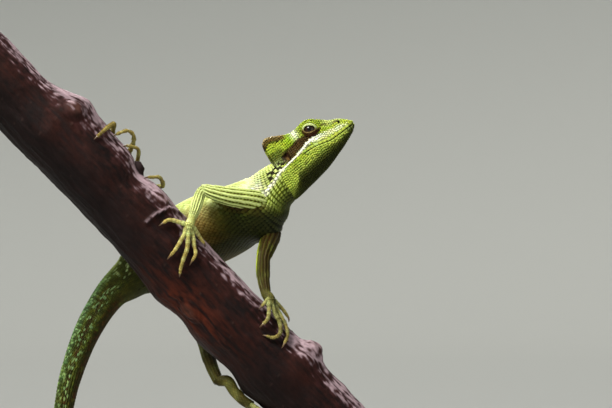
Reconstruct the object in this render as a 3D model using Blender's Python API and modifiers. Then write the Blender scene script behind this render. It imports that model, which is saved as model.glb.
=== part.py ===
"""A casque-headed iguana on a cut length of branch, life size, on a plain display stand.

The animal clings behind a slanting branch, facing +X with its head raised, and its long tail hangs down.
Lengths below are in millimetres, and meshes are made in metres. +Z is up, and the viewer stands at -Y.
The origin is the centre of the underside of the stand's base.
"""

import math

import bmesh
import bpy
import numpy as np

MM = 0.001
GAP = 0.3  # between touching pieces

# The side view that the pose follows: a picture 612 wide and 408 high, seen level from 900 mm away
PICTURE_SCALE = 0.42  # mm for one picture unit at the depth of the branch's axis
VIEW_DISTANCE = 900.0
PICTURE_CENTRE = (306.0, 204.0)
CENTRE_X = 50.0  # where the picture's centre lies in the part's own frame
CENTRE_Z = 412.0

# Stand
BASE_WIDTH = 190.0
BASE_DEPTH = 140.0
BASE_THICK = 12.0
BASE_EDGE = 2.0
ROD_X = 46.0
ROD_RADIUS = 4.0
ROD_TOP = 324.0
ROD_IN_BASE = 7.0
COLLAR_RADIUS = 9.0
COLLAR_HEIGHT = 7.0
COLLAR_EDGE = 1.5
ROD_SIDES = 24
SOCKET_DEPTH = 60.0

# Branch: distance along its axis from the picture's left edge, radius above the axis, radius below it
BRANCH_START = (0.0, 79.5)  # picture place of the axis at distance 0
BRANCH_SLOPE = 1.048  # picture units down for each unit right
BRANCH_OUTLINE = (
    (-19, 13.5, 14.5),
    (0, 14.2, 14.6),
    (18, 15.0, 14.6),
    (24, 17.6, 14.5),
    (31, 20.6, 14.3),
    (40, 19.2, 14.0),
    (50, 18.5, 13.8),
    (62, 17.8, 13.6),
    (69, 15.4, 13.6),
    (78, 17.0, 13.6),
    (90, 16.6, 14.0),
    (104, 15.3, 15.4),
    (112, 15.2, 16.4),
    (122, 15.2, 14.6),
    (138, 15.3, 16.0),
    (156, 15.4, 14.8),
    (166, 16.2, 16.6),
    (173, 18.4, 15.4),
    (181, 16.0, 15.2),
    (196, 15.7, 15.4),
    (214, 15.8, 15.4),
)
BRANCH_RINGS = 44
BRANCH_SIDES = 24
BRANCH_FAR_RADIUS = 14.8

# Head: its own axes are back from the snout's tip, out to the side and up from the line of the mouth
HEAD_PITCH = 32.6  # degrees that the line of the mouth points up
HEAD_ROLL = 15.0  # degrees that the crown leans away from the viewer
SNOUT_TIP = (353.0, 122.0, 15.0)  # picture place and depth
# Each row: distance back, then side and height of eight lines from the crown's middle to the throat's middle
HEAD_LINES = (
    (0.3, 0, 1.0, 0.5, 0.9, 0.9, 0.4, 1.0, -0.1, 0.8, -0.9, 0.9, -1.3, 0.6, -1.7, 0, -1.8),
    (1.4, 0, 2.3, 1.1, 2.0, 1.8, 1.0, 2.1, -0.4, 1.8, -1.3, 1.9, -1.9, 1.3, -2.6, 0, -2.8),
    (4.0, 0, 4.1, 1.9, 3.9, 2.9, 2.2, 3.3, -0.9, 3.0, -1.8, 3.1, -2.6, 2.3, -3.9, 0, -4.3),
    (8.5, 0, 5.8, 2.9, 5.8, 3.7, 3.4, 4.6, -1.4, 4.3, -2.5, 4.5, -3.4, 3.6, -5.6, 0, -6.7),
    (12.5, 0, 7.9, 4.3, 8.4, 4.8, 4.6, 5.7, -1.8, 5.4, -2.9, 5.6, -3.9, 4.7, -6.9, 0, -8.3),
    (15.5, 0, 9.2, 5.3, 10.2, 5.6, 6.2, 6.4, -1.5, 6.1, -2.5, 6.3, -3.7, 5.4, -7.9, 0, -9.5),
    (19.0, 0, 9.8, 5.7, 10.5, 6.1, 6.6, 7.0, -1.0, 6.7, -2.0, 6.9, -3.4, 6.0, -8.8, 0, -10.8),
    (22.5, 0, 9.7, 6.0, 9.5, 7.0, 6.4, 7.5, -1.1, 7.3, -2.1, 7.5, -3.6, 6.5, -9.5, 0, -11.8),
    (26.5, 0, 9.8, 6.7, 9.2, 7.8, 6.6, 8.0, -1.4, 7.9, -2.6, 7.9, -4.2, 6.8, -10.3, 0, -12.7),
    (30.5, 0, 11.0, 7.3, 10.5, 7.2, 6.6, 7.7, -1.6, 7.8, -3.2, 7.7, -4.9, 6.7, -11.0, 0, -13.6),
    (34.0, 0, 12.6, 7.2, 12.0, 6.5, 6.8, 7.0, -1.2, 7.2, -3.4, 7.2, -5.4, 6.3, -11.6, 0, -14.4),
    (36.6, 0, 13.0, 6.0, 12.4, 5.6, 7.2, 6.4, -0.6, 6.9, -3.4, 7.0, -5.8, 6.0, -12.0, 0, -14.9),
    (38.2, 0, 11.8, 4.8, 11.0, 4.9, 7.0, 6.1, -0.4, 6.8, -3.5, 6.9, -6.0, 5.9, -12.1, 0, -15.1),
)
HEAD_BACK = 38.2
HEAD_RINGS = 32
HEAD_SIDES = 34
NAPE_LINES = (38.5, 0, 3.6, 2.8, 3.0, 5.0, 1.2, 6.2, -1.6, 6.8, -4.0, 6.9, -6.3, 5.9, -12.2, 0, -15.1)
EYE_PLACE = (17.4, 4.2, 5.8)  # back, side, up
EYE_RADIUS = 3.3
LID_THICK = 0.7
EYE_OPENING = (2.3, 1.5)  # half length and half height
EYE_TILT = 12.0
EAR_PLACE = (31.0, 8.3, 0.4)
EAR_SIZE = (2.2, 1.9, 2.7)
NOSTRIL_PLACE = (5.2, 2.9, 3.3)
NOSTRIL_SIZE = (0.75, 0.7, 0.5)

# Trunk: picture place of the axis, depth, half height above and below, half width, roll, node sides
TRUNK = (
    (273.6, 191.4, 18.0, 11.2, 10.2, 7.9, 24),
    (262.0, 202.6, 20.0, 12.8, 13.2, 10.8, 34),
    (247.0, 211.0, 22.0, 12.8, 13.6, 13.6, 42),
    (229.0, 220.0, 25.5, 12.4, 13.0, 16.6, 48),
    (204.0, 231.5, 29.4, 12.0, 12.6, 17.6, 50),
    (180.0, 243.5, 30.6, 11.8, 12.0, 16.4, 50),
    (159.0, 257.0, 30.6, 10.8, 11.0, 14.0, 48),
    (141.0, 270.5, 29.4, 9.4, 9.6, 10.8, 42),
    (126.5, 281.0, 27.6, 8.6, 8.8, 8.6, 34),
    (113.5, 291.5, 26.0, 7.3, 7.3, 6.7, 26),
    (102.5, 305.5, 24.6, 6.5, 6.5, 5.7, 20),
    (92.5, 322.0, 23.4, 6.1, 6.0, 5.2, 16),
    (84.0, 339.5, 22.4, 5.6, 5.5, 4.9, 14),
    (77.0, 357.5, 21.6, 5.1, 5.1, 4.6, 12),
    (71.0, 376.0, 21.0, 4.7, 4.7, 4.3, 10),
    (66.4, 395.0, 20.6, 4.3, 4.3, 4.0, 8),
)
# The hanging tail below the picture: x and z from the picture's centre, depth, half thickness
TAIL = (
    (-106.4, -102.0, 20.2, 3.6),
    (-111.0, -130.0, 19.6, 3.1),
    (-112.0, -165.0, 18.4, 2.6),
    (-110.0, -205.0, 16.8, 2.15),
    (-106.0, -245.0, 15.6, 1.75),
    (-100.5, -285.0, 15.4, 1.4),
    (-94.0, -320.0, 16.2, 1.1),
    (-86.0, -352.0, 18.4, 0.85),
    (-76.0, -378.0, 22.0, 0.6),
)
TRUNK_SIDES = 24
TAIL_SIDES = 12
# Places of the cuts between the trunk's nodes, as places in the list of stations, and rings in each node
TRUNK_NODES = (
    ("neck", 0.0, 1.75, 6, TRUNK_SIDES),
    ("chest", 1.75, 3.8, 8, TRUNK_SIDES),
    ("belly", 3.8, 6.4, 9, TRUNK_SIDES),
    ("pelvis", 6.4, 9.2, 9, TRUNK_SIDES),
    ("tail_1", 9.2, 12.5, 8, 18),
    ("tail_2", 12.5, 16.5, 9, 16),
    ("tail_3", 16.5, 19.5, 11, TAIL_SIDES),
    ("tail_4", 19.5, 22.4, 11, TAIL_SIDES),
    ("tail_5", 22.4, 25.0, 11, TAIL_SIDES),
)

# Limbs: picture place, depth and radius down each limb; the joint stations are where nodes part
ARM_RIGHT = (
    (275.0, 211.0, 25.0, 4.2),
    (265.0, 204.6, 15.0, 4.6),
    (254.6, 200.6, 9.8, 4.6),
    (242.0, 198.4, 7.4, 4.2),
    (228.0, 196.2, 6.4, 3.8),
    (213.0, 192.4, 7.2, 3.0),
    (204.6, 190.0, 8.0, 2.4),
    (200.6, 194.0, 7.6, 2.4),
    (197.4, 202.0, 5.0, 2.5),
    (194.4, 211.6, 0.2, 2.15),
    (191.4, 219.4, -4.6, 1.8),
)
ARM_LEFT = (
    (268.0, 224.0, 24.0, 4.4),
    (271.0, 234.0, 19.0, 4.2),
    (268.5, 243.0, 13.0, 3.9),
    (265.5, 251.0, 8.0, 3.4),
    (263.6, 257.5, 5.4, 3.0),
    (263.0, 265.0, 4.2, 3.0),
    (263.6, 280.0, 2.4, 2.6),
    (266.0, 293.5, -0.6, 2.1),
)
LEG_RIGHT = (
    (142.0, 266.0, 26.0, 5.0),
    (134.0, 254.0, 22.8, 4.6),
    (118.0, 225.0, 22.4, 4.0),
    (104.0, 203.0, 23.2, 3.0),
    (102.0, 196.0, 23.6, 2.7),
    (109.0, 193.0, 23.2, 2.8),
    (128.0, 196.0, 21.6, 3.0),
    (147.0, 200.0, 20.2, 2.4),
    (157.0, 201.0, 19.6, 2.0),
)
LEG_LEFT = (
    (146.0, 268.0, 34.0, 5.0),
    (156.0, 280.0, 37.0, 4.6),
    (174.0, 300.0, 37.6, 4.0),
    (190.0, 318.0, 34.6, 3.2),
    (198.0, 329.0, 30.4, 2.9),
    (203.4, 341.0, 24.0, 2.9),
    (208.0, 355.0, 15.0, 2.9),
    (212.8, 369.0, 7.0, 2.6),
    (218.0, 380.5, 2.4, 2.2),
)
LIMB_SIDES = 14
UPPER_RINGS = 8
LOWER_RINGS = 7
DIGIT_RADIUS = 1.05
DIGIT_TIP_RADIUS = 0.7
CLAW_LENGTH = 2.4
CLAW_RADIUS = 0.5
CLAW_TIP_RADIUS = 0.12
# Digits, as picture places from the palm to the tip, with the height of each over the bark
HAND_RIGHT = (
    ((192, 226, 2.6), (197, 233, 1.6), (201, 239, 0.9), (204, 243, 0.3)),
    ((190, 229, 2.6), (193, 236, 1.9), (194, 245, 1.4), (195.5, 254, 0.9), (192, 261, 0.3)),
    ((188, 229, 2.6), (188, 239, 2.1), (187, 249, 1.6), (183.5, 259, 1.0), (181, 267, 0.6), (180, 273, 0.3)),
    ((186, 228, 2.6), (184.5, 234, 2.0), (180, 242, 1.4), (175, 250, 0.8), (170, 256, 0.3)),
    ((186, 224, 2.4), (180, 222.5, 1.6), (174, 220.5, 1.2), (168, 220, 0.7), (163, 223, 0.3)),
)
HAND_LEFT = (
    ((268.5, 299, 2.6), (265.5, 302, 1.4), (262, 306, 0.4)),
    ((268.8, 301, 2.6), (269, 310, 1.6), (267.6, 319, 1.0), (263, 324, 0.3)),
    ((271, 302, 2.6), (275, 313, 2.0), (280, 324, 1.4), (279.6, 334, 0.9), (273, 337.5, 0.6), (267, 336, 0.3)),
    ((273, 302, 2.6), (279, 313, 1.8), (285, 324, 1.2), (287.6, 335, 0.8), (284, 344, 0.3)),
    ((273, 299.5, 2.4), (278.6, 305, 1.4), (284, 311, 0.8), (288, 317, 0.3)),
)
# Feet behind the branch: distance along the branch, angle round it from straight towards the viewer, height
FOOT_RIGHT_SOLE = ((80.0, 142.0, 3.6, 2.2), (76.0, 131.0, 2.6, 2.0))
FOOT_RIGHT = (
    ((77.0, 127.0, 2.0), (79.0, 110.0, 1.6), (78.0, 98.0, 1.8), (75.8, 92.0, 2.4), (74.0, 86.0, 1.0), (72.8, 79.0, 0.4)),
    ((74.6, 134.0, 2.0), (69.6, 141.0, 1.4), (66.0, 128.0, 1.2), (63.6, 108.0, 1.6), (61.0, 96.0, 2.8),
     (58.2, 88.0, 1.0), (57.0, 80.0, 0.3)),
    ((73.6, 137.0, 2.0), (67.0, 147.0, 1.6), (61.5, 136.0, 1.4), (58.8, 114.0, 1.4), (57.4, 101.0, 3.4),
     (55.0, 95.0, 5.2), (52.4, 91.0, 4.4), (51.0, 87.0, 1.4), (50.6, 80.0, 0.3)),
    ((73.0, 140.0, 2.0), (64.6, 152.0, 1.4), (55.4, 148.0, 1.2), (49.6, 126.0, 1.2), (47.0, 104.0, 1.4),
     (46.4, 90.0, 1.8), (46.4, 75.0, 1.1), (46.5, 60.0, 0.8), (46.6, 48.0, 0.3)),
    ((79.6, 135.0, 2.0), (85.0, 141.0, 1.2), (90.0, 150.0, 0.8), (93.0, 159.0, 0.3)),
)
FOOT_LEFT_SOLE = (
    (157.6, -93.0, 3.2, 2.5),
    (163.0, -86.0, 2.6, 2.3),
    (168.0, -83.0, 2.4, 2.2),
    (172.0, -84.0, 2.2, 2.1),
)
FOOT_LEFT = (
    ((171.4, -79.0, 1.4), (176.0, -67.0, 1.2), (179.0, -56.0, 0.8), (180.6, -47.0, 0.3)),
    ((172.4, -82.0, 1.4), (178.6, -74.0, 1.4), (184.0, -66.0, 1.0), (186.6, -57.0, 0.3)),
    ((173.0, -85.0, 1.4), (180.0, -84.0, 1.5), (185.6, -79.0, 1.0), (189.0, -70.0, 0.3)),
    ((173.0, -88.0, 1.4), (180.0, -96.0, 1.6), (185.6, -104.0, 1.2), (189.4, -113.0, 0.8), (191.0, -122.0, 0.3)),
    ((167.2, -91.0, 1.7), (166.0, -105.0, 1.3), (163.6, -117.0, 0.9), (161.0, -126.0, 0.3)),
)
# Knots and buds on the bark: distance along, angle, radius, how far it stands out for its radius
KNOTS = (
    (31.5, 52.0, 4.2, 0.4),
    (67.4, 92.0, 2.4, 1.5),
    (172.4, 82.0, 4.8, 0.5),
    (84.0, 62.0, 3.6, 0.4),
    (125.0, -36.0, 4.6, 0.4),
    (40.0, -150.0, 5.0, 0.5),
    (150.0, 160.0, 5.0, 0.5),
)

# Colours: base colour, roughness, metallic
LOOKS = {
    "skin": ((0.36, 0.56, 0.10), 0.55, 0.0),
    "eye": ((0.05, 0.03, 0.02), 0.12, 0.0),
    "bark": ((0.17, 0.09, 0.08), 0.85, 0.0),
    "steel": ((0.55, 0.55, 0.56), 0.35, 1.0),
    "base": ((0.72, 0.70, 0.66), 0.5, 0.0),
}


def clear_scene():
    for thing in list(bpy.data.objects):
        bpy.data.objects.remove(thing, do_unlink=True)


def new_collection(name):
    collection = bpy.data.collections.new(name)
    bpy.context.scene.collection.children.link(collection)
    return collection


def new_material(name):
    colour, roughness, metallic = LOOKS[name]
    material = bpy.data.materials.new(name)
    material.use_nodes = True
    shader = material.node_tree.nodes["Principled BSDF"]
    shader.inputs["Base Color"].default_value = (*colour, 1.0)
    shader.inputs["Roughness"].default_value = roughness
    shader.inputs["Metallic"].default_value = metallic
    return material


def unit(vector):
    vector = np.asarray(vector, float)
    return vector / np.linalg.norm(vector)


def seen(across, down, depth):
    """The place at this depth that the viewer sees at this picture place."""
    scale = PICTURE_SCALE * (1 + depth / VIEW_DISTANCE)
    return np.array(
        [
            CENTRE_X + (across - PICTURE_CENTRE[0]) * scale,
            depth,
            CENTRE_Z + (PICTURE_CENTRE[1] - down) * scale,
        ]
    )


def smooth(places, values, at):
    """A cubic through the values, with each slope read from the value's two neighbours."""
    places = np.asarray(places, float)
    values = np.asarray(values, float)
    slopes = np.gradient(values, places, axis=0)
    i = int(np.clip(np.searchsorted(places, at, side="right") - 1, 0, len(places) - 2))
    step = places[i + 1] - places[i]
    t = (at - places[i]) / step
    return (
        (2 * t**3 - 3 * t**2 + 1) * values[i]
        + (t**3 - 2 * t**2 + t) * step * slopes[i]
        + (3 * t**2 - 2 * t**3) * values[i + 1]
        + (t**3 - t**2) * step * slopes[i + 1]
    )


def closed_ring(lines, count):
    """Points round a section, from its eight lines on one side, mirrored to the other."""
    half = np.asarray(lines, float).reshape(-1, 2)
    mirrored = half[-2:0:-1] * (-1, 1)
    corners = np.concatenate([half, mirrored])
    total = len(corners)
    ring = []
    for k in range(count):
        place = k * total / count
        i = int(place)
        t = place - i
        a, b, c, d = (corners[(i + j) % total] for j in (-1, 0, 1, 2))
        ring.append(
            0.5 * (2 * b + (c - a) * t + (2 * a - 5 * b + 4 * c - d) * t**2 + (3 * b - a - 3 * c + d) * t**3)
        )
    return np.array(ring)


def oval_lines(above, below, wide):
    """The eight lines of an oval section."""
    lines = []
    for k in range(8):
        angle = math.pi * k / 7
        height = above if angle < math.pi / 2 else below
        lines += [wide * math.sin(angle), height * math.cos(angle)]
    return lines


def mesh_object(name, vertices, faces, collection, material):
    """A mesh object from points in millimetres, its faces turned outwards."""
    mesh = bpy.data.meshes.new(name)
    mesh.from_pydata([tuple(np.asarray(v) * MM) for v in vertices], [], faces)
    work = bmesh.new()
    work.from_mesh(mesh)
    bmesh.ops.recalc_face_normals(work, faces=work.faces)
    work.to_mesh(mesh)
    work.free()
    mesh.materials.append(material)
    thing = bpy.data.objects.new(name, mesh)
    collection.objects.link(thing)
    mesh.shade_smooth()
    return thing


def loft(name, rings, collection, material):
    """A closed skin over a row of rings with the same number of points, with flat ends."""
    count = len(rings[0])
    vertices = [p for ring in rings for p in ring]
    faces = []
    for i in range(len(rings) - 1):
        for k in range(count):
            a = i * count + k
            b = i * count + (k + 1) % count
            faces.append((a, b, b + count, a + count))
    faces.append(tuple(range(count - 1, -1, -1)))
    faces.append(tuple(range((len(rings) - 1) * count, len(rings) * count)))
    return mesh_object(name, vertices, faces, collection, material)


def apply_modifiers(thing):
    """The object's own mesh becomes what its modifiers make."""
    graph = bpy.context.evaluated_depsgraph_get()
    made = bpy.data.meshes.new_from_object(thing.evaluated_get(graph))
    thing.modifiers.clear()
    thing.data = made


def keep_largest(thing):
    """Keeps the closed surface with the most room inside, and drops loose scraps and sealed hollows."""
    work = bmesh.new()
    work.from_mesh(thing.data)
    left = set(work.faces)
    groups = []
    while left:
        stack = [left.pop()]
        group = []
        while stack:
            face = stack.pop()
            group.append(face)
            for edge in face.edges:
                for other in edge.link_faces:
                    if other in left:
                        left.remove(other)
                        stack.append(other)
        groups.append(group)

    def spread(group):
        spots = np.array([v.co[:] for f in group for v in f.verts])
        return float(np.prod(spots.max(0) - spots.min(0)))

    groups.sort(key=spread)
    dropped = [f for group in groups[:-1] for f in group]
    bmesh.ops.delete(work, geom=dropped, context="FACES")
    loose = [v for v in work.verts if not v.link_faces]
    bmesh.ops.delete(work, geom=loose, context="VERTS")
    work.to_mesh(thing.data)
    work.free()


def join_pieces(name, pieces, collection, material):
    """One closed body from overlapping pieces, by a Boolean union on a collection of them."""
    group = bpy.data.collections.new(name + "_pieces")
    bpy.context.scene.collection.children.link(group)
    first = pieces[0]
    for piece in pieces[1:]:
        for owner in list(piece.users_collection):
            owner.objects.unlink(piece)
        group.objects.link(piece)
    union = first.modifiers.new("union", "BOOLEAN")
    union.operation = "UNION"
    union.operand_type = "COLLECTION"
    union.collection = group
    union.solver = "EXACT"
    apply_modifiers(first)
    for piece in list(group.objects):
        bpy.data.objects.remove(piece, do_unlink=True)
    bpy.data.collections.remove(group)
    for owner in list(first.users_collection):
        owner.objects.unlink(first)
    collection.objects.link(first)
    first.name = name
    first.data.name = name
    first.data.materials.clear()
    first.data.materials.append(material)
    keep_largest(first)
    first.data.shade_smooth()
    return first


def cut_away(thing, cutter):
    """Takes the cutter's room out of the object, and applies it."""
    cut = thing.modifiers.new("cut", "BOOLEAN")
    cut.operation = "DIFFERENCE"
    cut.object = cutter
    cut.solver = "EXACT"
    apply_modifiers(thing)
    keep_largest(thing)


def as_cutter(thing):
    thing.hide_render = True
    thing.display_type = "WIRE"


def ball(name, centre, radii, turn, collection, material, segments=18, rings=10):
    """A stretched ball. turn holds its own three axes as rows."""
    work = bmesh.new()
    bmesh.ops.create_uvsphere(work, u_segments=segments, v_segments=rings, radius=1.0)
    faces = [[v.index for v in f.verts] for f in work.faces]
    spots = np.array([v.co[:] for v in work.verts])
    work.free()
    places = np.asarray(centre) + (spots * radii) @ np.asarray(turn)
    return mesh_object(name, places, faces, collection, material)


def branch_place(along):
    """The branch's axis at this distance, and the axis's direction."""
    direction = unit((1.0, 0.0, -BRANCH_SLOPE))
    start = seen(*BRANCH_START, 0.0)
    return start + direction * along, direction


def branch_radius(along, angle):
    """Radius of the bark. The angle is 0 towards the viewer and 90 degrees at the upper edge."""
    places = [row[0] for row in BRANCH_OUTLINE]
    above = smooth(places, [row[1] for row in BRANCH_OUTLINE], along)
    below = smooth(places, [row[2] for row in BRANCH_OUTLINE], along)
    rise = math.sin(angle)
    edge = above if rise > 0 else below
    share = rise**2
    facing = 0.5 + 0.5 * math.cos(angle)
    side = BRANCH_FAR_RADIUS + 0.25 * (above + below - 2 * BRANCH_FAR_RADIUS) * facing
    ridges = 0.22 * math.sin(5 * angle + 0.06 * along) + 0.16 * math.sin(3 * angle - 0.11 * along)
    return side + (edge - side) * share + ridges * (1 - share)


def on_branch(along, angle, height):
    """A place over the bark."""
    centre, direction = branch_place(along)
    upper = unit((-direction[2], 0.0, direction[0]))
    towards = np.array([0.0, -1.0, 0.0])
    radius = branch_radius(along, angle) + height
    return centre + radius * (math.cos(angle) * towards + math.sin(angle) * upper)


def over_branch(across, down, height):
    """The place on the branch's near side, this high over the bark, that the viewer sees at this picture place."""
    start, direction = branch_place(0.0)
    upper = unit((-direction[2], 0.0, direction[0]))
    depth = -10.0
    for _ in range(12):
        spot = seen(across, down, depth) - start
        along = float(spot @ direction)
        rise = float(spot @ upper)
        angle = math.atan2(rise, -depth)
        radius = branch_radius(along, angle) + height
        inside = radius**2 - rise**2
        depth = -math.sqrt(inside) if inside > 0.04 else -0.2
    return seen(across, down, depth)


def head_axes():
    """The snout's tip and the head's own axes: forward, to its left, up."""
    pitch = math.radians(HEAD_PITCH)
    roll = math.radians(HEAD_ROLL)
    forward = np.array([math.cos(pitch), 0.0, math.sin(pitch)])
    level_up = np.array([-math.sin(pitch), 0.0, math.cos(pitch)])
    left = np.array([0.0, 1.0, 0.0])
    up = level_up * math.cos(roll) + left * math.sin(roll)
    side = left * math.cos(roll) - level_up * math.sin(roll)
    return seen(*SNOUT_TIP), forward, side, up


def head_point(back, side, height):
    tip, forward, left, up = head_axes()
    return tip - forward * back + left * side + up * height


def trunk_stations():
    """Centre, direction to the tail, up, and the eight lines of each station from the nape to the tail's tip."""
    _, forward, _, up = head_axes()
    middle = (NAPE_LINES[2] + NAPE_LINES[-1]) / 2
    centres = [head_point(NAPE_LINES[0], 0, middle)]
    first = np.array(NAPE_LINES[1:], float).reshape(-1, 2)
    first[:, 1] -= middle
    lines = [first.ravel()]
    rolls = [HEAD_ROLL]
    for across, down, depth, above, below, wide, roll in TRUNK:
        centres.append(seen(across, down, depth))
        lines.append(oval_lines(above, below, wide))
        rolls.append(roll)
    for x, z, depth, thick in TAIL:
        centres.append(np.array([CENTRE_X + x, depth, CENTRE_Z + z]))
        lines.append(oval_lines(thick, thick, thick))
        rolls.append(6.0)
    return np.array(centres), np.array(lines), np.array(rolls, float), forward, up


def trunk_ring(place, count, aside=0.0, swell=0.0):
    """The trunk's ring at a place in the list of stations, moved along the axis and swelled."""
    centres, lines, rolls, head_forward, head_up = trunk_stations()
    places = np.arange(len(centres), dtype=float)
    centre = smooth(places, centres, place)
    tail_ward = unit(smooth(places, centres, place + 0.02) - smooth(places, centres, place - 0.02))
    start = max(0.0, 1.0 - place)
    tail_ward = unit(tail_ward * (1 - start) - head_forward * start)
    roll = math.radians(float(smooth(places, rolls, place)))
    flat_up = unit(np.cross([0.0, 1.0, 0.0], tail_ward))
    if flat_up @ head_up < 0 and place < 6:
        flat_up = -flat_up
    left = unit(np.cross(flat_up, -tail_ward))
    up = flat_up * math.cos(roll) + left * math.sin(roll)
    side = left * math.cos(roll) - flat_up * math.sin(roll)
    ring = closed_ring(smooth(places, lines, place), count)
    if swell:
        ring = ring * (1 + swell / np.linalg.norm(ring, axis=1, keepdims=True))
    return centre + tail_ward * aside + ring[:, :1] * side + ring[:, 1:] * up


def trunk_rings(start, end, rings, sides):
    """Rings between two places. Each end stands back from its cut by half the gap, or the nape's full gap."""
    made = []
    for k in range(rings):
        place = start + (end - start) * k / (rings - 1)
        aside = 0.0
        if k == 0 and start > 0:
            aside = GAP / 2
        if k == rings - 1:
            aside = -GAP / 2
        made.append(trunk_ring(place, sides, aside))
    return made


def tube_rings(stations, sides):
    """Rings round a row of places, each with its radius. The ring's own turn is carried along."""
    spots = np.array([s[0] for s in stations])
    radii = [s[1] for s in stations]
    ways = np.gradient(spots, axis=0)
    side = unit(np.cross(ways[0], (0.3, 0.9, 0.2)))
    rings = []
    for spot, radius, way in zip(spots, radii, ways):
        way = unit(way)
        side = unit(side - way * float(side @ way))
        other = np.cross(way, side)
        turns = [2 * math.pi * k / sides for k in range(sides)]
        rings.append([spot + radius * (math.cos(t) * side + math.sin(t) * other) for t in turns])
    return rings


def smooth_path(points, radii, count):
    """Evenly numbered places along a smooth curve through the points, with their radii."""
    points = np.asarray(points, float)
    steps = np.linalg.norm(np.diff(points, axis=0), axis=1) ** 0.5
    places = np.concatenate([[0.0], np.cumsum(steps)])
    marks = np.linspace(0.0, places[-1], count)
    return [(smooth(places, points, m), float(smooth(places, radii, m))) for m in marks]


def limb_path(rows):
    """Places, points and radii down a limb. The places step with the root of the distance."""
    points = np.array([seen(*row[:3]) for row in rows])
    radii = np.array([row[3] for row in rows])
    steps = np.linalg.norm(np.diff(points, axis=0), axis=1) ** 0.5
    places = np.concatenate([[0.0], np.cumsum(steps)])
    return places, points, radii


def limb_end(rows):
    """The last place of a limb and its direction there."""
    places, points, _ = limb_path(rows)
    before = smooth(places, points, places[-1] - 0.05)
    return points[-1], unit(points[-1] - before)


def limb_nodes(names, rows, joint, collection, cutters, material):
    """Upper and lower length of a limb. The lower one is hollowed where the upper one's end lies in it."""
    places, points, radii = limb_path(rows)
    upper_marks = np.linspace(0.0, places[joint], UPPER_RINGS)
    lower_marks = np.linspace(places[joint], places[-1], LOWER_RINGS)

    spots = np.array([smooth(places, points, m) for m in upper_marks])
    thick = np.array([smooth(places, radii, m) for m in upper_marks])
    first = unit(spots[1] - spots[0])
    last = unit(spots[-1] - spots[-2])
    upper = limb_loft(names[0], spots, thick, first, last, collection, material)
    spots[-1] = spots[-1] + last * GAP
    room = limb_loft(names[0] + "_room", spots, thick + GAP * 1.2, first, last, cutters, material)
    as_cutter(room)

    spots = np.array([smooth(places, points, m) for m in lower_marks])
    thick = np.array([smooth(places, radii, m) for m in lower_marks])
    end, way = limb_end(rows)
    first = unit(spots[1] - spots[0])
    spots[-1] = end + way * GAP / 2
    lower_room = limb_loft(names[1] + "_room", spots, thick + GAP * 1.2, first, way, cutters, material)
    as_cutter(lower_room)
    spots[-1] = end - way * GAP / 2
    lower = limb_loft(names[1], spots, thick, first, way, collection, material)
    cut_away(lower, room)
    return upper, lower, lower_room


def limb_loft(name, spots, radii, first, last, collection, material):
    """A limb's length, with end faces square to the given directions."""
    ways = np.gradient(spots, axis=0)
    ways[0] = first
    ways[-1] = last
    side = unit(np.cross(ways[0], (0.2, 0.95, 0.1)))
    rings = []
    for spot, radius, way in zip(spots, radii, ways):
        way = unit(way)
        side = unit(side - way * float(side @ way))
        other = np.cross(way, side)
        turns = [2 * math.pi * k / LIMB_SIDES for k in range(LIMB_SIDES)]
        rings.append([spot + radius * (math.cos(t) * side + math.sin(t) * other) for t in turns])
    return loft(name, rings, collection, material)


def digit_piece(name, points, collection, material):
    """A slender digit that ends in a hooked claw, as one tapered tube."""
    points = [np.asarray(p, float) for p in points]
    count = len(points)
    radii = list(np.linspace(DIGIT_RADIUS * 1.15, DIGIT_TIP_RADIUS, count))
    stations = smooth_path(points, radii, 2 * count)
    way = unit(points[-1] - points[-2])
    tip = points[-1]
    stations.append((tip + way * CLAW_LENGTH * 0.3, CLAW_RADIUS))
    stations.append((tip + way * CLAW_LENGTH * 0.7, CLAW_RADIUS * 0.6))
    stations.append((tip + way * CLAW_LENGTH, CLAW_TIP_RADIUS))
    return loft(name, tube_rings(stations, 7), collection, material)


def hand_node(name, wrist, wrist_radius, arm_way, palm_points, digits, room, collection, material):
    """A palm with its digits and claws. The wrist's side of it is cut back from the limb's end."""
    spots = [wrist - arm_way * GAP, wrist + arm_way * wrist_radius * 0.3, *(p[0] for p in palm_points)]
    radii = [wrist_radius, wrist_radius, *(p[1] for p in palm_points)]
    stations = smooth_path(spots, radii, 2 * len(palm_points) + 2)
    spots = np.array([s[0] for s in stations])
    palm = limb_loft(
        name + "_palm", spots, [s[1] for s in stations], arm_way, spots[-1] - spots[-2], collection, material
    )
    pieces = [palm]
    for k, points in enumerate(digits):
        pieces.append(digit_piece(f"{name}_digit_{k}", points, collection, material))
    hand = join_pieces(name, pieces, collection, material)
    cut_away(hand, room)


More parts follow.
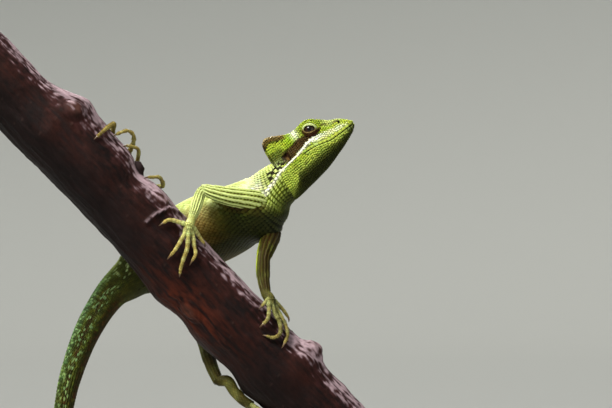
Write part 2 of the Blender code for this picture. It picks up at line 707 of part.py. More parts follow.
def make_head(collection, cutters, material):
    """Skull with its casque, brows, lids, nostrils, ears, lips and line of the mouth."""
    backs = [row[0] for row in HEAD_LINES]
    lines = np.array([row[1:] for row in HEAD_LINES], float)
    rings = []
    for k in range(HEAD_RINGS):
        share = k / (HEAD_RINGS - 1)
        back = backs[0] + (HEAD_BACK - backs[0]) * (0.25 * share**2 + 0.75 * share)
        section = closed_ring(smooth(backs, lines, back), HEAD_SIDES)
        rings.append([head_point(back, side, height) for side, height in section])
    skull = loft("skull", rings, collection, material)

    _, forward, left, up = head_axes()
    tilt = math.radians(EYE_TILT)
    back, side, height = EYE_PLACE
    lids = []
    for way in (-1, 1):
        centre = head_point(back, way * side, height)
        lids.append(
            ball(f"lids_{way}", centre, [EYE_RADIUS + GAP + LID_THICK] * 3, (forward, left, up), collection, material)
        )
    head = join_pieces("head", [skull, *lids], collection, material)
    for way in (-1, 1):
        centre = head_point(back, way * side, height)
        socket = ball(f"socket_{way}", centre, [EYE_RADIUS + GAP] * 3, (forward, left, up), cutters, material)
        along = forward * math.cos(tilt) - up * math.sin(tilt)
        across = np.cross(left, along)
        opening = ball(
            f"opening_{way}",
            centre + left * way * EYE_RADIUS,
            (EYE_OPENING[0], 2.4, EYE_OPENING[1]),
            (along, left, across),
            cutters,
            material,
            segments=16,
            rings=8,
        )
        ear = ball(
            f"ear_{way}",
            head_point(EAR_PLACE[0], way * EAR_PLACE[1], EAR_PLACE[2]),
            EAR_SIZE,
            (forward, left, up),
            cutters,
            material,
            segments=12,
            rings=8,
        )
        nostril = ball(
            f"nostril_{way}",
            head_point(NOSTRIL_PLACE[0], way * NOSTRIL_PLACE[1], NOSTRIL_PLACE[2]),
            NOSTRIL_SIZE,
            (forward, left, up),
            cutters,
            material,
            segments=8,
            rings=6,
        )
        for cutter in (opening, socket, ear, nostril):
            as_cutter(cutter)
            cut_away(head, cutter)
    return head


def make_eyes(collection, material):
    _, forward, left, up = head_axes()
    back, side, height = EYE_PLACE
    for name, way in (("eye_right", -1), ("eye_left", 1)):
        centre = head_point(back, way * side, height)
        ball(name, centre, [EYE_RADIUS] * 3, (forward, left, up), collection, material, segments=16, rings=10)


def make_trunk(collection, material):
    for name, start, end, rings, sides in TRUNK_NODES:
        loft(name, trunk_rings(start, end, rings, sides), collection, material)


def make_trunk_cutter(collection, material, start, end, name):
    """A trunk swelled by the gap, which trims the limbs' roots."""
    rings = [trunk_ring(start + (end - start) * k / 19, TRUNK_SIDES, 0.0, GAP * 1.25) for k in range(20)]
    cutter = loft(name, rings, collection, material)
    as_cutter(cutter)
    return cutter


def make_arms(collection, cutters, material):
    cutter = make_trunk_cutter(cutters, material, 0.2, 5.0, "chest_room")
    upper_right, fore_right, wrist_right = limb_nodes(
        ("upper_arm_right", "forearm_right"), ARM_RIGHT, 6, collection, cutters, material
    )
    upper_left, _, wrist_left = limb_nodes(
        ("upper_arm_left", "forearm_left"), ARM_LEFT, 4, collection, cutters, material
    )
    for piece in (upper_right, upper_left, fore_right):
        cut_away(piece, cutter)

    hands = (
        ("hand_right", ARM_RIGHT, HAND_RIGHT, wrist_right),
        ("hand_left", ARM_LEFT, HAND_LEFT, wrist_left),
    )
    for name, rows, digits, room in hands:
        wrist, way = limb_end(rows)
        paths = [[over_branch(u, v, h + DIGIT_TIP_RADIUS + GAP) for u, v, h in digit] for digit in digits]
        heads = np.mean([path[0] for path in paths], axis=0)
        palm = [((wrist + heads) / 2, rows[-1][3] * 1.15), (heads, 2.0)]
        hand_node(name, wrist, rows[-1][3], way, palm, paths, room, collection, material)


def make_legs(collection, cutters, material):
    cutter = make_trunk_cutter(cutters, material, 6.0, 11.0, "hip_room")
    thigh_right, _, ankle_right = limb_nodes(
        ("thigh_right", "shank_right"), LEG_RIGHT, 4, collection, cutters, material
    )
    thigh_left, _, ankle_left = limb_nodes(
        ("thigh_left", "shank_left"), LEG_LEFT, 4, collection, cutters, material
    )
    for piece in (thigh_right, thigh_left):
        cut_away(piece, cutter)

    feet = (
        ("foot_right", LEG_RIGHT, FOOT_RIGHT, FOOT_RIGHT_SOLE, ankle_right),
        ("foot_left", LEG_LEFT, FOOT_LEFT, FOOT_LEFT_SOLE, ankle_left),
    )
    for name, rows, digits, sole, room in feet:
        ankle, way = limb_end(rows)
        paths = [
            [on_branch(s, math.radians(angle), h + DIGIT_TIP_RADIUS + GAP) for s, angle, h in digit]
            for digit in digits
        ]
        middle = [(on_branch(s, math.radians(angle), h + GAP), radius) for s, angle, h, radius in sole]
        hand_node(name, ankle, rows[-1][3], way, middle, paths, room, collection, material)


def make_branch(collection, cutters, material):
    rings = []
    start = BRANCH_OUTLINE[0][0]
    end = BRANCH_OUTLINE[-1][0]
    for k in range(BRANCH_RINGS):
        along = start + (end - start) * k / (BRANCH_RINGS - 1)
        angles = [2 * math.pi * i / BRANCH_SIDES for i in range(BRANCH_SIDES)]
        rings.append([on_branch(along, angle, 0.0) for angle in angles])
    pieces = [loft("branch", rings, collection, material)]
    for k, (along, angle, radius, height) in enumerate(KNOTS):
        centre = on_branch(along, math.radians(angle), 0.0)
        outwards = unit(centre - branch_place(along)[0])
        direction = branch_place(along)[1]
        axes = (direction, unit(np.cross(outwards, direction)), outwards)
        radii = (radius, radius * 0.8, radius * height)
        pieces.append(ball(f"knot_{k}", centre, radii, axes, collection, material, segments=10, rings=6))
    branch = join_pieces("branch", pieces, collection, material)
    socket = round_room("rod_socket", ROD_TOP + GAP - SOCKET_DEPTH, ROD_TOP + GAP, cutters, material)
    cut_away(branch, socket)


def round_room(name, bottom, top, collection, material):
    """The room for the stand's rod between two heights, wider than the rod by the gap."""
    work = bmesh.new()
    bmesh.ops.create_cone(work, cap_ends=True, segments=ROD_SIDES, radius1=1.0, radius2=1.0, depth=1.0)
    faces = [[v.index for v in f.verts] for f in work.faces]
    spots = np.array([v.co[:] for v in work.verts])
    work.free()
    radius = ROD_RADIUS + GAP
    centre = np.array([ROD_X, 0.0, (bottom + top) / 2])
    room = mesh_object(name, centre + spots * (radius, radius, top - bottom), faces, collection, material)
    as_cutter(room)
    return room


def make_stand(collection, cutters, steel, paint):
    """A turned rod with a collar, in a flat base."""
    box = bmesh.new()
    bmesh.ops.create_cube(box, size=1.0)
    faces = [[v.index for v in f.verts] for f in box.faces]
    spots = np.array([v.co[:] for v in box.verts])
    box.free()
    corners = (spots + (0.0, 0.0, 0.5)) * (BASE_WIDTH, BASE_DEPTH, BASE_THICK)
    base = mesh_object("stand_base", corners, faces, collection, paint)
    bevel = base.modifiers.new("edges", "BEVEL")
    bevel.width = BASE_EDGE * MM
    bevel.segments = 3
    apply_modifiers(base)
    cut_away(base, round_room("base_socket", BASE_THICK - ROD_IN_BASE - GAP, BASE_THICK + 5.0, cutters, steel))
    base.data.set_sharp_from_angle(angle=math.radians(35))

    shoulder = BASE_THICK + COLLAR_HEIGHT
    profile = (
        (0.0, BASE_THICK - ROD_IN_BASE),
        (ROD_RADIUS, BASE_THICK - ROD_IN_BASE),
        (ROD_RADIUS, BASE_THICK + GAP),
        (COLLAR_RADIUS, BASE_THICK + GAP),
        (COLLAR_RADIUS, shoulder),
        (COLLAR_RADIUS - COLLAR_EDGE, shoulder + COLLAR_EDGE),
        (ROD_RADIUS, shoulder + COLLAR_EDGE),
        (ROD_RADIUS, ROD_TOP),
        (0.0, ROD_TOP),
    )
    mesh = bpy.data.meshes.new("stand_rod")
    edges = [(k, k + 1) for k in range(len(profile) - 1)]
    mesh.from_pydata([(radius * MM, 0.0, z * MM) for radius, z in profile], edges, [])
    mesh.materials.append(steel)
    rod = bpy.data.objects.new("stand_rod", mesh)
    collection.objects.link(rod)
    turn = rod.modifiers.new("turn", "SCREW")
    turn.angle = 2 * math.pi
    turn.steps = ROD_SIDES
    turn.render_steps = ROD_SIDES
    turn.use_merge_vertices = True
    turn.merge_threshold = 0.00005
    apply_modifiers(rod)
    work = bmesh.new()
    work.from_mesh(rod.data)
    bmesh.ops.translate(work, verts=work.verts, vec=(ROD_X * MM, 0.0, 0.0))
    bmesh.ops.recalc_face_normals(work, faces=work.faces)
    work.to_mesh(rod.data)
    work.free()
    rod.data.shade_smooth()
    rod.data.set_sharp_from_angle(angle=math.radians(35))


def main():
    clear_scene()
    iguana = new_collection("iguana")
    cutters = new_collection("cutters")
    looks = {name: new_material(name) for name in LOOKS}
    make_head(iguana, cutters, looks["skin"])
    make_eyes(iguana, looks["eye"])
    make_trunk(iguana, looks["skin"])
    make_arms(iguana, cutters, looks["skin"])
    make_legs(iguana, cutters, looks["skin"])
    make_branch(iguana, cutters, looks["bark"])
    make_stand(iguana, cutters, looks["steel"], looks["base"])


main()
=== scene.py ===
# %% [markdown]
# A casque-headed iguana on a slanting branch, dressed around its CAD model. The stand's solids keep their
# shape. One skin, thousands of separate scales, lids, eyes, claws and real bark take the place of the others.
# Lengths in the tables are millimetres, and meshes are made in metres.

import math

import bpy
import numpy as np
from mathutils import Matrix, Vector
from mathutils.bvhtree import BVHTree


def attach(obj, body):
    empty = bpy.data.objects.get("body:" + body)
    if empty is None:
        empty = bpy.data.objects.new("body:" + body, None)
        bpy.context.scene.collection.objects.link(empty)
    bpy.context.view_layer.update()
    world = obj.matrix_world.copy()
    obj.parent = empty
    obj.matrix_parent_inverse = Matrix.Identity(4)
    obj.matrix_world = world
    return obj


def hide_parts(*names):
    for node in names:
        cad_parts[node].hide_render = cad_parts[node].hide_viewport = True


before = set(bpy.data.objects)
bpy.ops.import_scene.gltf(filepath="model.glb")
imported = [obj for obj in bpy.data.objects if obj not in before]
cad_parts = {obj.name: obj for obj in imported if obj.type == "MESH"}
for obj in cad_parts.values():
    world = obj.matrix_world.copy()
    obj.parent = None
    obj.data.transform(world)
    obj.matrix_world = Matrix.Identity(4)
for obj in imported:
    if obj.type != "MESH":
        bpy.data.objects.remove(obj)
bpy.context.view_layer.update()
MM = 0.001
print("nodes in the frame:", len(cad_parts))

# %% [markdown]
# Short functions carry the lesson: smooth steps, bell curves, and cubics that run through measured values. A
# section of the body is a closed row of fourteen corners: eight measured ones and the mirror images of six.

# %% Curves and sections
CORNERS = 14
TURN = 2 * math.pi
join = np.concatenate


def stack(*values):
    """Values side by side along a new last axis, each repeated where it is shorter."""
    return np.stack(np.broadcast_arrays(*values), axis=-1)


def length_of(vectors):
    return np.linalg.norm(vectors, axis=-1)


def unit(vectors):
    vectors = np.asarray(vectors, float)
    return vectors / np.maximum(length_of(vectors)[..., None], 1e-9)


def step_up(value, low, high):
    """The smooth step from 0 at low to 1 at high: 3 t squared less 2 t cubed."""
    t = np.clip((value - low) / (high - low), 0, 1)
    return t * t * (3 - 2 * t)


def fall(value, low, high):
    return 1 - step_up(value, low, high)


def between(value, first, second, third, fourth):
    """Up from the first value to the second, and down from the third to the fourth."""
    return step_up(value, first, second) * fall(value, third, fourth)


def bell(*values):
    """The bell curve: e to the power of less the sum of the squares."""
    return np.exp(-sum(value**2 for value in values))


def bump(distance):
    """1 in the middle, falling to 0 at distance 1: one less the square, squared."""
    return np.clip(1 - distance**2, 0, 1) ** 2


def spin(angle, first, second):
    """A direction turned by an angle: the first times its cosine plus the second times its sine."""
    angle = np.asarray(angle)[..., None]
    return np.cos(angle) * first + np.sin(angle) * second


def from_back(turn):
    """How far round the body a turn lies: 0 in the middle of the back and 1 in the middle of the belly."""
    return np.minimum(turn % 1.0, 1 - turn % 1.0) * 2


def smooth(places, values, at):
    """The cubic of Hermite between neighbours, with each slope read from the value's two neighbours."""
    places = np.asarray(places, float)
    values = np.asarray(values, float)
    at = np.asarray(at, float)
    slopes = np.gradient(values, places, axis=0)
    i = np.clip(np.searchsorted(places, at, side="right") - 1, 0, len(places) - 2)
    shape = at.shape + (1,) * (values.ndim - 1)
    step = (places[i + 1] - places[i]).reshape(shape)
    t = ((at - places[i]) / (places[i + 1] - places[i])).reshape(shape)
    low = (2 * t**3 - 3 * t**2 + 1) * values[i] + (t**3 - 2 * t**2 + t) * step * slopes[i]
    high = (3 * t**2 - 2 * t**3) * values[i + 1] + (t**3 - t**2) * step * slopes[i + 1]
    return low + high


def section_point(lines, turn):
    """Side and height on a section at turn, 0 to 1 from the back's middle over the animal's left side:
    a Catmull-Rom curve through the fourteen corners."""
    half = lines.reshape(lines.shape[:-1] + (8, 2))
    corners = join([half, half[..., -2:0:-1, :] * (-1.0, 1.0)], axis=-2)
    place = (np.asarray(turn, float) % 1.0) * CORNERS
    i = np.floor(place).astype(int)
    t = (place - i)[..., None]
    nearby = [((i + j) % CORNERS)[..., None, None] for j in (-1, 0, 1, 2)]
    a, b, c, d = (np.take_along_axis(corners, number, axis=-2)[..., 0, :] for number in nearby)
    return 0.5 * (2 * b + (c - a) * t + (2 * a - 5 * b + 4 * c - d) * t**2 + (3 * b - a - 3 * c + d) * t**3)


def oval_lines(above, below, wide):
    """The eight lines of an oval: side is the width times the sine, height is the half height times the
    cosine of the angle from the top."""
    angle = np.pi * np.arange(8) / 7
    height = np.where(angle < np.pi / 2, np.asarray(above)[..., None], np.asarray(below)[..., None])
    lines = np.stack([np.asarray(wide)[..., None] * np.sin(angle), height * np.cos(angle)], axis=-1)
    return lines.reshape(lines.shape[:-2] + (16,))


# %% [markdown]
# The picture is 612 wide and 408 high, seen level from 900 mm away. Every place that is read from it is a
# picture place and a depth, so one function turns them into a place in the part's own frame. The same numbers
# set the camera: its lens is the sensor's width times the distance over the width that it has to show.

# %% The picture and the camera
PICTURE_SCALE = 0.42
VIEW_DISTANCE = 900.0
PICTURE_SIZE = (612, 408)
CENTRE_X = 50.0
CENTRE_Z = 412.0
SENSOR = 36.0


def picture_place(across, down, depth):
    """The offset from the picture's middle times the scale, which grows with the distance from the eye."""
    across, down, depth = (np.asarray(value, float) for value in (across, down, depth))
    scale = PICTURE_SCALE * (1 + depth / VIEW_DISTANCE)
    x = CENTRE_X + (across - PICTURE_SIZE[0] / 2) * scale
    z = CENTRE_Z + (PICTURE_SIZE[1] / 2 - down) * scale
    return stack(x, depth, z)


def new_object(name, data):
    thing = bpy.data.objects.new(name, data)
    bpy.context.scene.collection.objects.link(thing)
    return thing


def set_camera():
    camera = bpy.data.cameras.new("view")
    camera.sensor_width = SENSOR
    camera.lens = SENSOR * VIEW_DISTANCE / (PICTURE_SIZE[0] * PICTURE_SCALE)
    camera.clip_end = 50.0
    thing = new_object("view", camera)
    thing.location = (CENTRE_X * MM, -VIEW_DISTANCE * MM, CENTRE_Z * MM)
    thing.rotation_euler = (math.radians(90), 0.0, 0.0)
    bpy.context.scene.camera = thing
    print("lens in mm:", round(camera.lens, 1))


set_camera()

# %% [markdown]
# The floor is a wide shallow bowl: a flat disc that bends up into a low wall, so every view has the same pale
# ground. The main light is a soft box high on the viewer's left. A dim world, a weak wide sun and two soft
# lights fill the shadows.

# %% Stage and light
FLOOR_RADIUS = 5.0
FLOOR_BEND = 1.4
FLOOR_WALL = 2.2
FLOOR_SIDES = 96
FLOOR_COLOUR = (0.60, 0.61, 0.59)
WORLD_COLOUR = (0.90, 0.92, 0.91)
WORLD_STRENGTH = 0.46
MIDDLE = (0.04, 0.0, 0.41)
LIGHTS = (  # name, kind, place, target, angle or size, power, colour
    ("sun", "SUN", (-0.50, -0.28, 1.0), (0.0, 0.0, 0.0), math.radians(14.0), 1.25, (1.0, 0.97, 0.90)),
    ("key", "AREA", (-0.50, -0.45, 1.30), MIDDLE, 0.45, 19.0, (1.0, 0.98, 0.91)),
    ("fill", "AREA", (1.1, -1.3, 0.75), MIDDLE, 1.0, 2.5, (1.0, 1.0, 0.96)),
    ("rim", "AREA", (-0.3, 1.1, 1.1), MIDDLE, 0.5, 10.0, (1.0, 1.0, 0.96)),
)


def floor_mesh():
    """Rings round the upright axis: radius to the disc's edge, then a quarter circle, then straight up."""
    turn = np.linspace(0, TURN, FLOOR_SIDES, endpoint=False)
    bend = np.linspace(0, math.pi / 2, 16)
    radius = join([np.linspace(0.5, 1.0, 6)[:-1] * FLOOR_RADIUS, FLOOR_RADIUS + FLOOR_BEND * np.sin(bend)])
    height = join([np.zeros(5), FLOOR_BEND * (1 - np.cos(bend))])
    radius = np.append(radius, radius[-1])[:, None]
    height = np.append(height, height[-1] + FLOOR_WALL)[:, None]
    points = stack(radius * np.cos(turn), radius * np.sin(turn), height).reshape(-1, 3)
    ring = np.arange(FLOOR_SIDES)
    after = (ring + 1) % FLOOR_SIDES
    start = np.arange(len(radius) - 1)[:, None] * FLOOR_SIDES
    quads = stack(start + ring, start + FLOOR_SIDES + ring, start + FLOOR_SIDES + after, start + after)
    mesh = bpy.data.meshes.new("floor")
    mesh.from_pydata(points.tolist(), [], [ring.tolist(), *quads.reshape(-1, 4).tolist()])
    mesh.polygons.foreach_set("use_smooth", np.ones(len(mesh.polygons), bool))
    return mesh


def set_stage():
    floor = new_object("floor", floor_mesh())
    paint = bpy.data.materials.new("floor_paint")
    world = bpy.data.worlds.new("studio")
    for owner, node, values in (
        (paint, "Principled BSDF", (("Base Color", (*FLOOR_COLOUR, 1)), ("Roughness", 0.8))),
        (world, "Background", (("Color", (*WORLD_COLOUR, 1)), ("Strength", WORLD_STRENGTH))),
    ):
        owner.use_nodes = True
        for name, value in values:
            owner.node_tree.nodes[node].inputs[name].default_value = value
    floor.data.materials.append(paint)
    bpy.context.scene.world = world
    bpy.context.scene.view_settings.view_transform = "Standard"
    for name, kind, place, target, size, power, colour in LIGHTS:
        light = bpy.data.lights.new(name, kind)
        setattr(light, "angle" if kind == "SUN" else "size", size)
        light.energy = power
        light.color = colour
        thing = new_object(name, light)
        thing.location = place
        thing.rotation_euler = (Vector(target) - Vector(place)).to_track_quat("-Z", "Y").to_euler()
    print("lights:", len(LIGHTS))


set_stage()

# %% [markdown]
# The head has its own axes: back from the snout's tip, out to the side, and up from the line of the mouth. Each
# row is a section: its distance back, then side and height of the corners of crown, brow, lips, jaw and throat.

# %% The head's shape
HEAD_PITCH = 32.6
HEAD_ROLL = 15.0
SNOUT_TIP = (353.0, 122.0, 15.0)
HEAD_LINES = np.array((
    (0.3, 0, 1.0, 0.5, 0.9, 0.9, 0.4, 1.0, -0.1, 0.8, -0.9, 0.9, -1.3, 0.6, -1.7, 0, -1.8),
    (1.4, 0, 2.3, 1.1, 2.0, 1.8, 1.0, 2.1, -0.4, 1.8, -1.3, 1.9, -1.9, 1.3, -2.6, 0, -2.8),
    (4.0, 0, 4.1, 1.9, 3.9, 2.9, 2.2, 3.3, -0.9, 3.0, -1.8, 3.1, -2.6, 2.3, -3.9, 0, -4.3),
    (8.5, 0, 5.8, 2.9, 5.8, 3.7, 3.4, 4.6, -1.4, 4.3, -2.5, 4.5, -3.4, 3.6, -5.6, 0, -6.7),
    (12.5, 0, 7.9, 4.3, 8.4, 4.8, 4.6, 5.7, -1.8, 5.4, -2.9, 5.6, -3.9, 4.7, -6.9, 0, -8.3),
    (15.5, 0, 9.2, 5.3, 10.2, 5.6, 6.2, 6.4, -1.5, 6.1, -2.5, 6.3, -3.7, 5.4, -7.9, 0, -9.5),
    (19.0, 0, 9.8, 5.7, 10.5, 6.1, 6.6, 7.0, -1.0, 6.7, -2.0, 6.9, -3.4, 6.0, -8.8, 0, -10.8),
    (22.5, 0, 9.7, 6.0, 9.5, 7.0, 6.4, 7.5, -1.1, 7.3, -2.1, 7.5, -3.6, 6.5, -9.5, 0, -11.8),
    (26.5, 0, 9.8, 6.7, 9.2, 7.8, 6.6, 8.0, -1.4, 7.9, -2.6, 7.9, -4.2, 6.8, -10.3, 0, -12.7),
    (30.5, 0, 11.0, 7.3, 10.5, 7.2, 6.6, 7.7, -1.6, 7.8, -3.2, 7.7, -4.9, 6.7, -11.0, 0, -13.6),
    (34.0, 0, 12.6, 7.2, 12.0, 6.5, 6.8, 7.0, -1.2, 7.2, -3.4, 7.2, -5.4, 6.3, -11.6, 0, -14.4),
    (36.6, 0, 13.0, 6.0, 12.4, 5.6, 7.2, 6.4, -0.6, 6.9, -3.4, 7.0, -5.8, 6.0, -12.0, 0, -14.9),
    (38.2, 0, 11.8, 4.8, 11.0, 4.9, 7.0, 6.1, -0.4, 6.8, -3.5, 6.9, -6.0, 5.9, -12.1, 0, -15.1),
))
NAPE_LINES = np.array(
    (38.5, 0, 3.6, 2.8, 3.0, 5.0, 1.2, 6.2, -1.6, 6.8, -4.0, 6.9, -6.3, 5.9, -12.2, 0, -15.1)
)
HEAD_FRONT = 0.3
HEAD_BACK = 38.2
EYE_PLACE = (17.4, 4.2, 5.8)
EYE_RADIUS = 3.3
EYE_TILT = 27.0
EAR_CORNERS = ((30.2, 3.1), (34.3, 1.6), (31.0, -3.1))  # back and height of the ear's three corners
NOSTRIL_PLACE = (5.2, 2.9, 2.75)

pitch = math.radians(HEAD_PITCH)
roll = math.radians(HEAD_ROLL)
HEAD_TIP = picture_place(*SNOUT_TIP)
HEAD_FORWARD = np.array([math.cos(pitch), 0.0, math.sin(pitch)])
LEVEL_UP = np.array([-math.sin(pitch), 0.0, math.cos(pitch)])
HEAD_LEFT = np.array([0.0, 1.0, 0.0]) * math.cos(roll) - LEVEL_UP * math.sin(roll)
HEAD_UP = LEVEL_UP * math.cos(roll) + np.array([0.0, 1.0, 0.0]) * math.sin(roll)


def head_place(back, side, height):
    """Tip less forward times back, plus left times side, plus up times height."""
    back, side, height = (np.asarray(v, float)[..., None] for v in (back, side, height))
    return HEAD_TIP - HEAD_FORWARD * back + HEAD_LEFT * side + HEAD_UP * height


def head_numbers(points):
    """Back, side and height of places in the head's axes, by the dot product with each axis."""
    away = points - HEAD_TIP
    return -(away @ HEAD_FORWARD), away @ HEAD_LEFT, away @ HEAD_UP


def head_surface(back, turn):
    back, turn = np.broadcast_arrays(np.asarray(back, float), np.asarray(turn, float))
    lines = smooth(HEAD_LINES[:, 0], HEAD_LINES[:, 1:], back.ravel())
    spot = section_point(lines, turn.ravel())
    return head_place(back.ravel(), spot[:, 0], spot[:, 1]).reshape(back.shape + (3,))


print("head from snout to casque, mm:", HEAD_BACK)

# %% [markdown]
# The trunk and tail follow one axis from the nape to the tail's tip. Each station has a picture place and depth,
# the half heights, a half width and a roll, because the belly turns towards the viewer. The tail hangs below.

# %% The trunk's and tail's shape
TRUNK = np.array((
    (273.6, 191.4, 18.0, 11.2, 10.2, 7.9, 24), (262.0, 202.6, 20.0, 12.8, 13.2, 10.8, 34),
    (247.0, 211.0, 22.0, 12.8, 13.6, 13.6, 42), (229.0, 220.0, 25.5, 12.4, 13.0, 16.6, 48),
    (204.0, 231.5, 29.4, 12.0, 12.6, 17.6, 50), (180.0, 243.5, 30.6, 11.8, 12.0, 16.4, 50),
    (159.0, 257.0, 30.6, 10.8, 11.0, 14.0, 48), (141.0, 270.5, 29.4, 9.4, 9.6, 10.8, 42),
    (126.5, 281.0, 27.6, 8.6, 8.8, 8.6, 34), (113.5, 291.5, 26.0, 7.3, 7.3, 6.7, 26),
    (102.5, 305.5, 24.6, 6.5, 6.5, 5.7, 20), (92.5, 322.0, 23.4, 6.1, 6.0, 5.2, 16),
    (84.0, 339.5, 22.4, 5.6, 5.5, 4.9, 14), (77.0, 357.5, 21.6, 5.1, 5.1, 4.6, 12),
    (71.0, 376.0, 21.0, 4.7, 4.7, 4.3, 10), (66.4, 395.0, 20.6, 4.3, 4.3, 4.0, 8),
))
TAIL = np.array((  # side and height from the picture's middle, depth, radius
    (-106.4, -102.0, 20.2, 3.6), (-111.0, -130.0, 19.6, 3.1), (-112.0, -165.0, 18.4, 2.6),
    (-110.0, -205.0, 16.8, 2.15), (-106.0, -245.0, 15.6, 1.75), (-100.5, -285.0, 15.4, 1.4),
    (-94.0, -320.0, 16.2, 1.1), (-86.0, -352.0, 18.4, 0.85), (-76.0, -378.0, 22.0, 0.6),
))
TAIL_ROLL = 6.0


def trunk_stations():
    middle = (NAPE_LINES[2] + NAPE_LINES[-1]) / 2
    nape = NAPE_LINES[1:].reshape(-1, 2) - (0.0, middle)
    seen = picture_place(TRUNK[:, 0], TRUNK[:, 1], TRUNK[:, 2])
    hanging = np.stack([CENTRE_X + TAIL[:, 0], TAIL[:, 2], CENTRE_Z + TAIL[:, 1]], axis=-1)
    centres = join([head_place(NAPE_LINES[0], 0, middle)[None], seen, hanging])
    thick = TAIL[:, 3]
    ovals = join([oval_lines(TRUNK[:, 3], TRUNK[:, 4], TRUNK[:, 5]), oval_lines(thick, thick, thick)])
    lines = join([nape.reshape(1, 16), ovals])
    rolls = join([[HEAD_ROLL], TRUNK[:, 6], np.full(len(TAIL), TAIL_ROLL)])
    return centres, lines, np.radians(rolls)


CENTRES, SECTIONS, ROLLS = trunk_stations()
STATIONS = np.arange(len(CENTRES), dtype=float)
TAIL_END = STATIONS[-1]


def trunk_frame(place):
    """Centre and cross axes at a place on the axis. The tailward direction is the axis's slope, turned to the
    head's own direction at the nape. Up is square to it and rolled."""
    centre = smooth(STATIONS, CENTRES, place)
    tailward = unit(smooth(STATIONS, CENTRES, place + 0.02) - smooth(STATIONS, CENTRES, place - 0.02))
    start = np.clip(1.0 - place, 0.0, 1.0)[:, None]
    tailward = unit(tailward * (1 - start) - HEAD_FORWARD * start)
    turn = smooth(STATIONS, ROLLS, place)[:, None]
    flat_up = unit(np.cross(np.array([0.0, 1.0, 0.0]), tailward))
    upside = (flat_up @ HEAD_UP < 0) & (place < 6)
    flat_up = np.where(upside[:, None], -flat_up, flat_up)
    left = unit(np.cross(flat_up, -tailward))
    up = flat_up * np.cos(turn) + left * np.sin(turn)
    side = left * np.cos(turn) - flat_up * np.sin(turn)
    return centre, side, up, tailward


def trunk_surface(place, turn):
    place, turn = np.broadcast_arrays(np.asarray(place, float), np.asarray(turn, float))
    centre, side, up, _ = trunk_frame(place.ravel())
    spot = section_point(smooth(STATIONS, SECTIONS, place.ravel()), turn.ravel())
    points = centre + spot[:, :1] * side + spot[:, 1:] * up
    return points.reshape(place.shape + (3,))


axis_dense = smooth(STATIONS, CENTRES, np.linspace(0, TAIL_END, 2001))
AXIS_LENGTH = join([[0], np.cumsum(np.linalg.norm(np.diff(axis_dense, axis=0), axis=1))])
AXIS_PLACE = np.linspace(0, TAIL_END, 2001)


def place_at(length):
    """The place on the axis at this many millimetres from the nape."""
    return np.interp(length, AXIS_LENGTH, AXIS_PLACE)


print("nape to tail tip, mm:", round(AXIS_LENGTH[-1]))

# %% [markdown]
# The branch is a round bar whose radius changes along it and round it. Hands and feet are placed on the bark, so
# the branch's shape comes before them. The angle is 0 towards the viewer and a quarter turn at the upper edge.

# %% The branch's shape
BRANCH_START = (0.0, 79.5)
BRANCH_SLOPE = 1.048
BRANCH_FAR_RADIUS = 14.8
BRANCH_OUTLINE = np.array((  # distance along, radius above and radius below
    (-19, 13.5, 14.5), (0, 14.2, 14.6), (18, 15.0, 14.6), (24, 17.6, 14.5), (31, 20.6, 14.3),
    (40, 19.2, 14.0), (50, 18.5, 13.8), (62, 17.8, 13.6), (69, 15.4, 13.6), (78, 17.0, 13.6),
    (90, 16.6, 14.0), (104, 15.3, 15.4), (112, 15.2, 16.4), (122, 15.2, 14.6), (138, 15.3, 16.0),
    (156, 15.4, 14.8), (166, 16.2, 16.6), (173, 18.4, 15.4), (181, 16.0, 15.2), (196, 15.7, 15.4),
    (214, 15.8, 15.4),
))
BRANCH_WAY = unit(np.array([1.0, 0.0, -BRANCH_SLOPE]))
BRANCH_UPPER = unit(np.array([BRANCH_SLOPE, 0.0, 1.0]))
BRANCH_ORIGIN = picture_place(*BRANCH_START, 0.0)
TOWARDS = np.array([0.0, -1.0, 0.0])


def branch_radius(along, angle):
    """The edges' radii above and below, the side's radius, and three and five shallow ridges round the bar,
    mixed by the squared sine of the angle."""
    above = smooth(BRANCH_OUTLINE[:, 0], BRANCH_OUTLINE[:, 1], along)
    below = smooth(BRANCH_OUTLINE[:, 0], BRANCH_OUTLINE[:, 2], along)
    rise = np.sin(angle)
    share = rise**2
    facing = 0.5 + 0.5 * np.cos(angle)
    side = BRANCH_FAR_RADIUS + 0.25 * (above + below - 2 * BRANCH_FAR_RADIUS) * facing
    ridges = 0.22 * np.sin(5 * angle + 0.06 * along) + 0.16 * np.sin(3 * angle - 0.11 * along)
    return side + (np.where(rise > 0, above, below) - side) * share + ridges * (1 - share)


def on_branch(along, angle, height):
    """A place over the bark: the axis, plus radius and height along the direction of the angle."""
    along, angle, height = np.broadcast_arrays(*(np.asarray(v, float) for v in (along, angle, height)))
    radius = (branch_radius(along, angle) + height)[..., None]
    outwards = np.cos(angle)[..., None] * TOWARDS + np.sin(angle)[..., None] * BRANCH_UPPER
    return BRANCH_ORIGIN + BRANCH_WAY * along[..., None] + radius * outwards


def over_branch(across, down, height):
    """The place this high over the near bark that is seen at this picture place, by repeated correction of
    its depth."""
    depth = np.full(np.shape(across), -10.0)
    for _ in range(12):
        spot = picture_place(across, down, depth) - BRANCH_ORIGIN
        rise = spot @ BRANCH_UPPER
        radius = branch_radius(spot @ BRANCH_WAY, np.arctan2(rise, -depth)) + height
        depth = -np.sqrt(np.maximum(radius**2 - rise**2, 0.04))
    return picture_place(across, down, depth)


# %% [markdown]
# Arms, legs and digits are tubes. Each follows measured places with a radius at each, and its cross axes are
# carried along without twist, so rows of scales run straight down it. A hand's digits are picture places and
# heights over the bark. A foot's are distances along the branch, angles in degrees and heights.

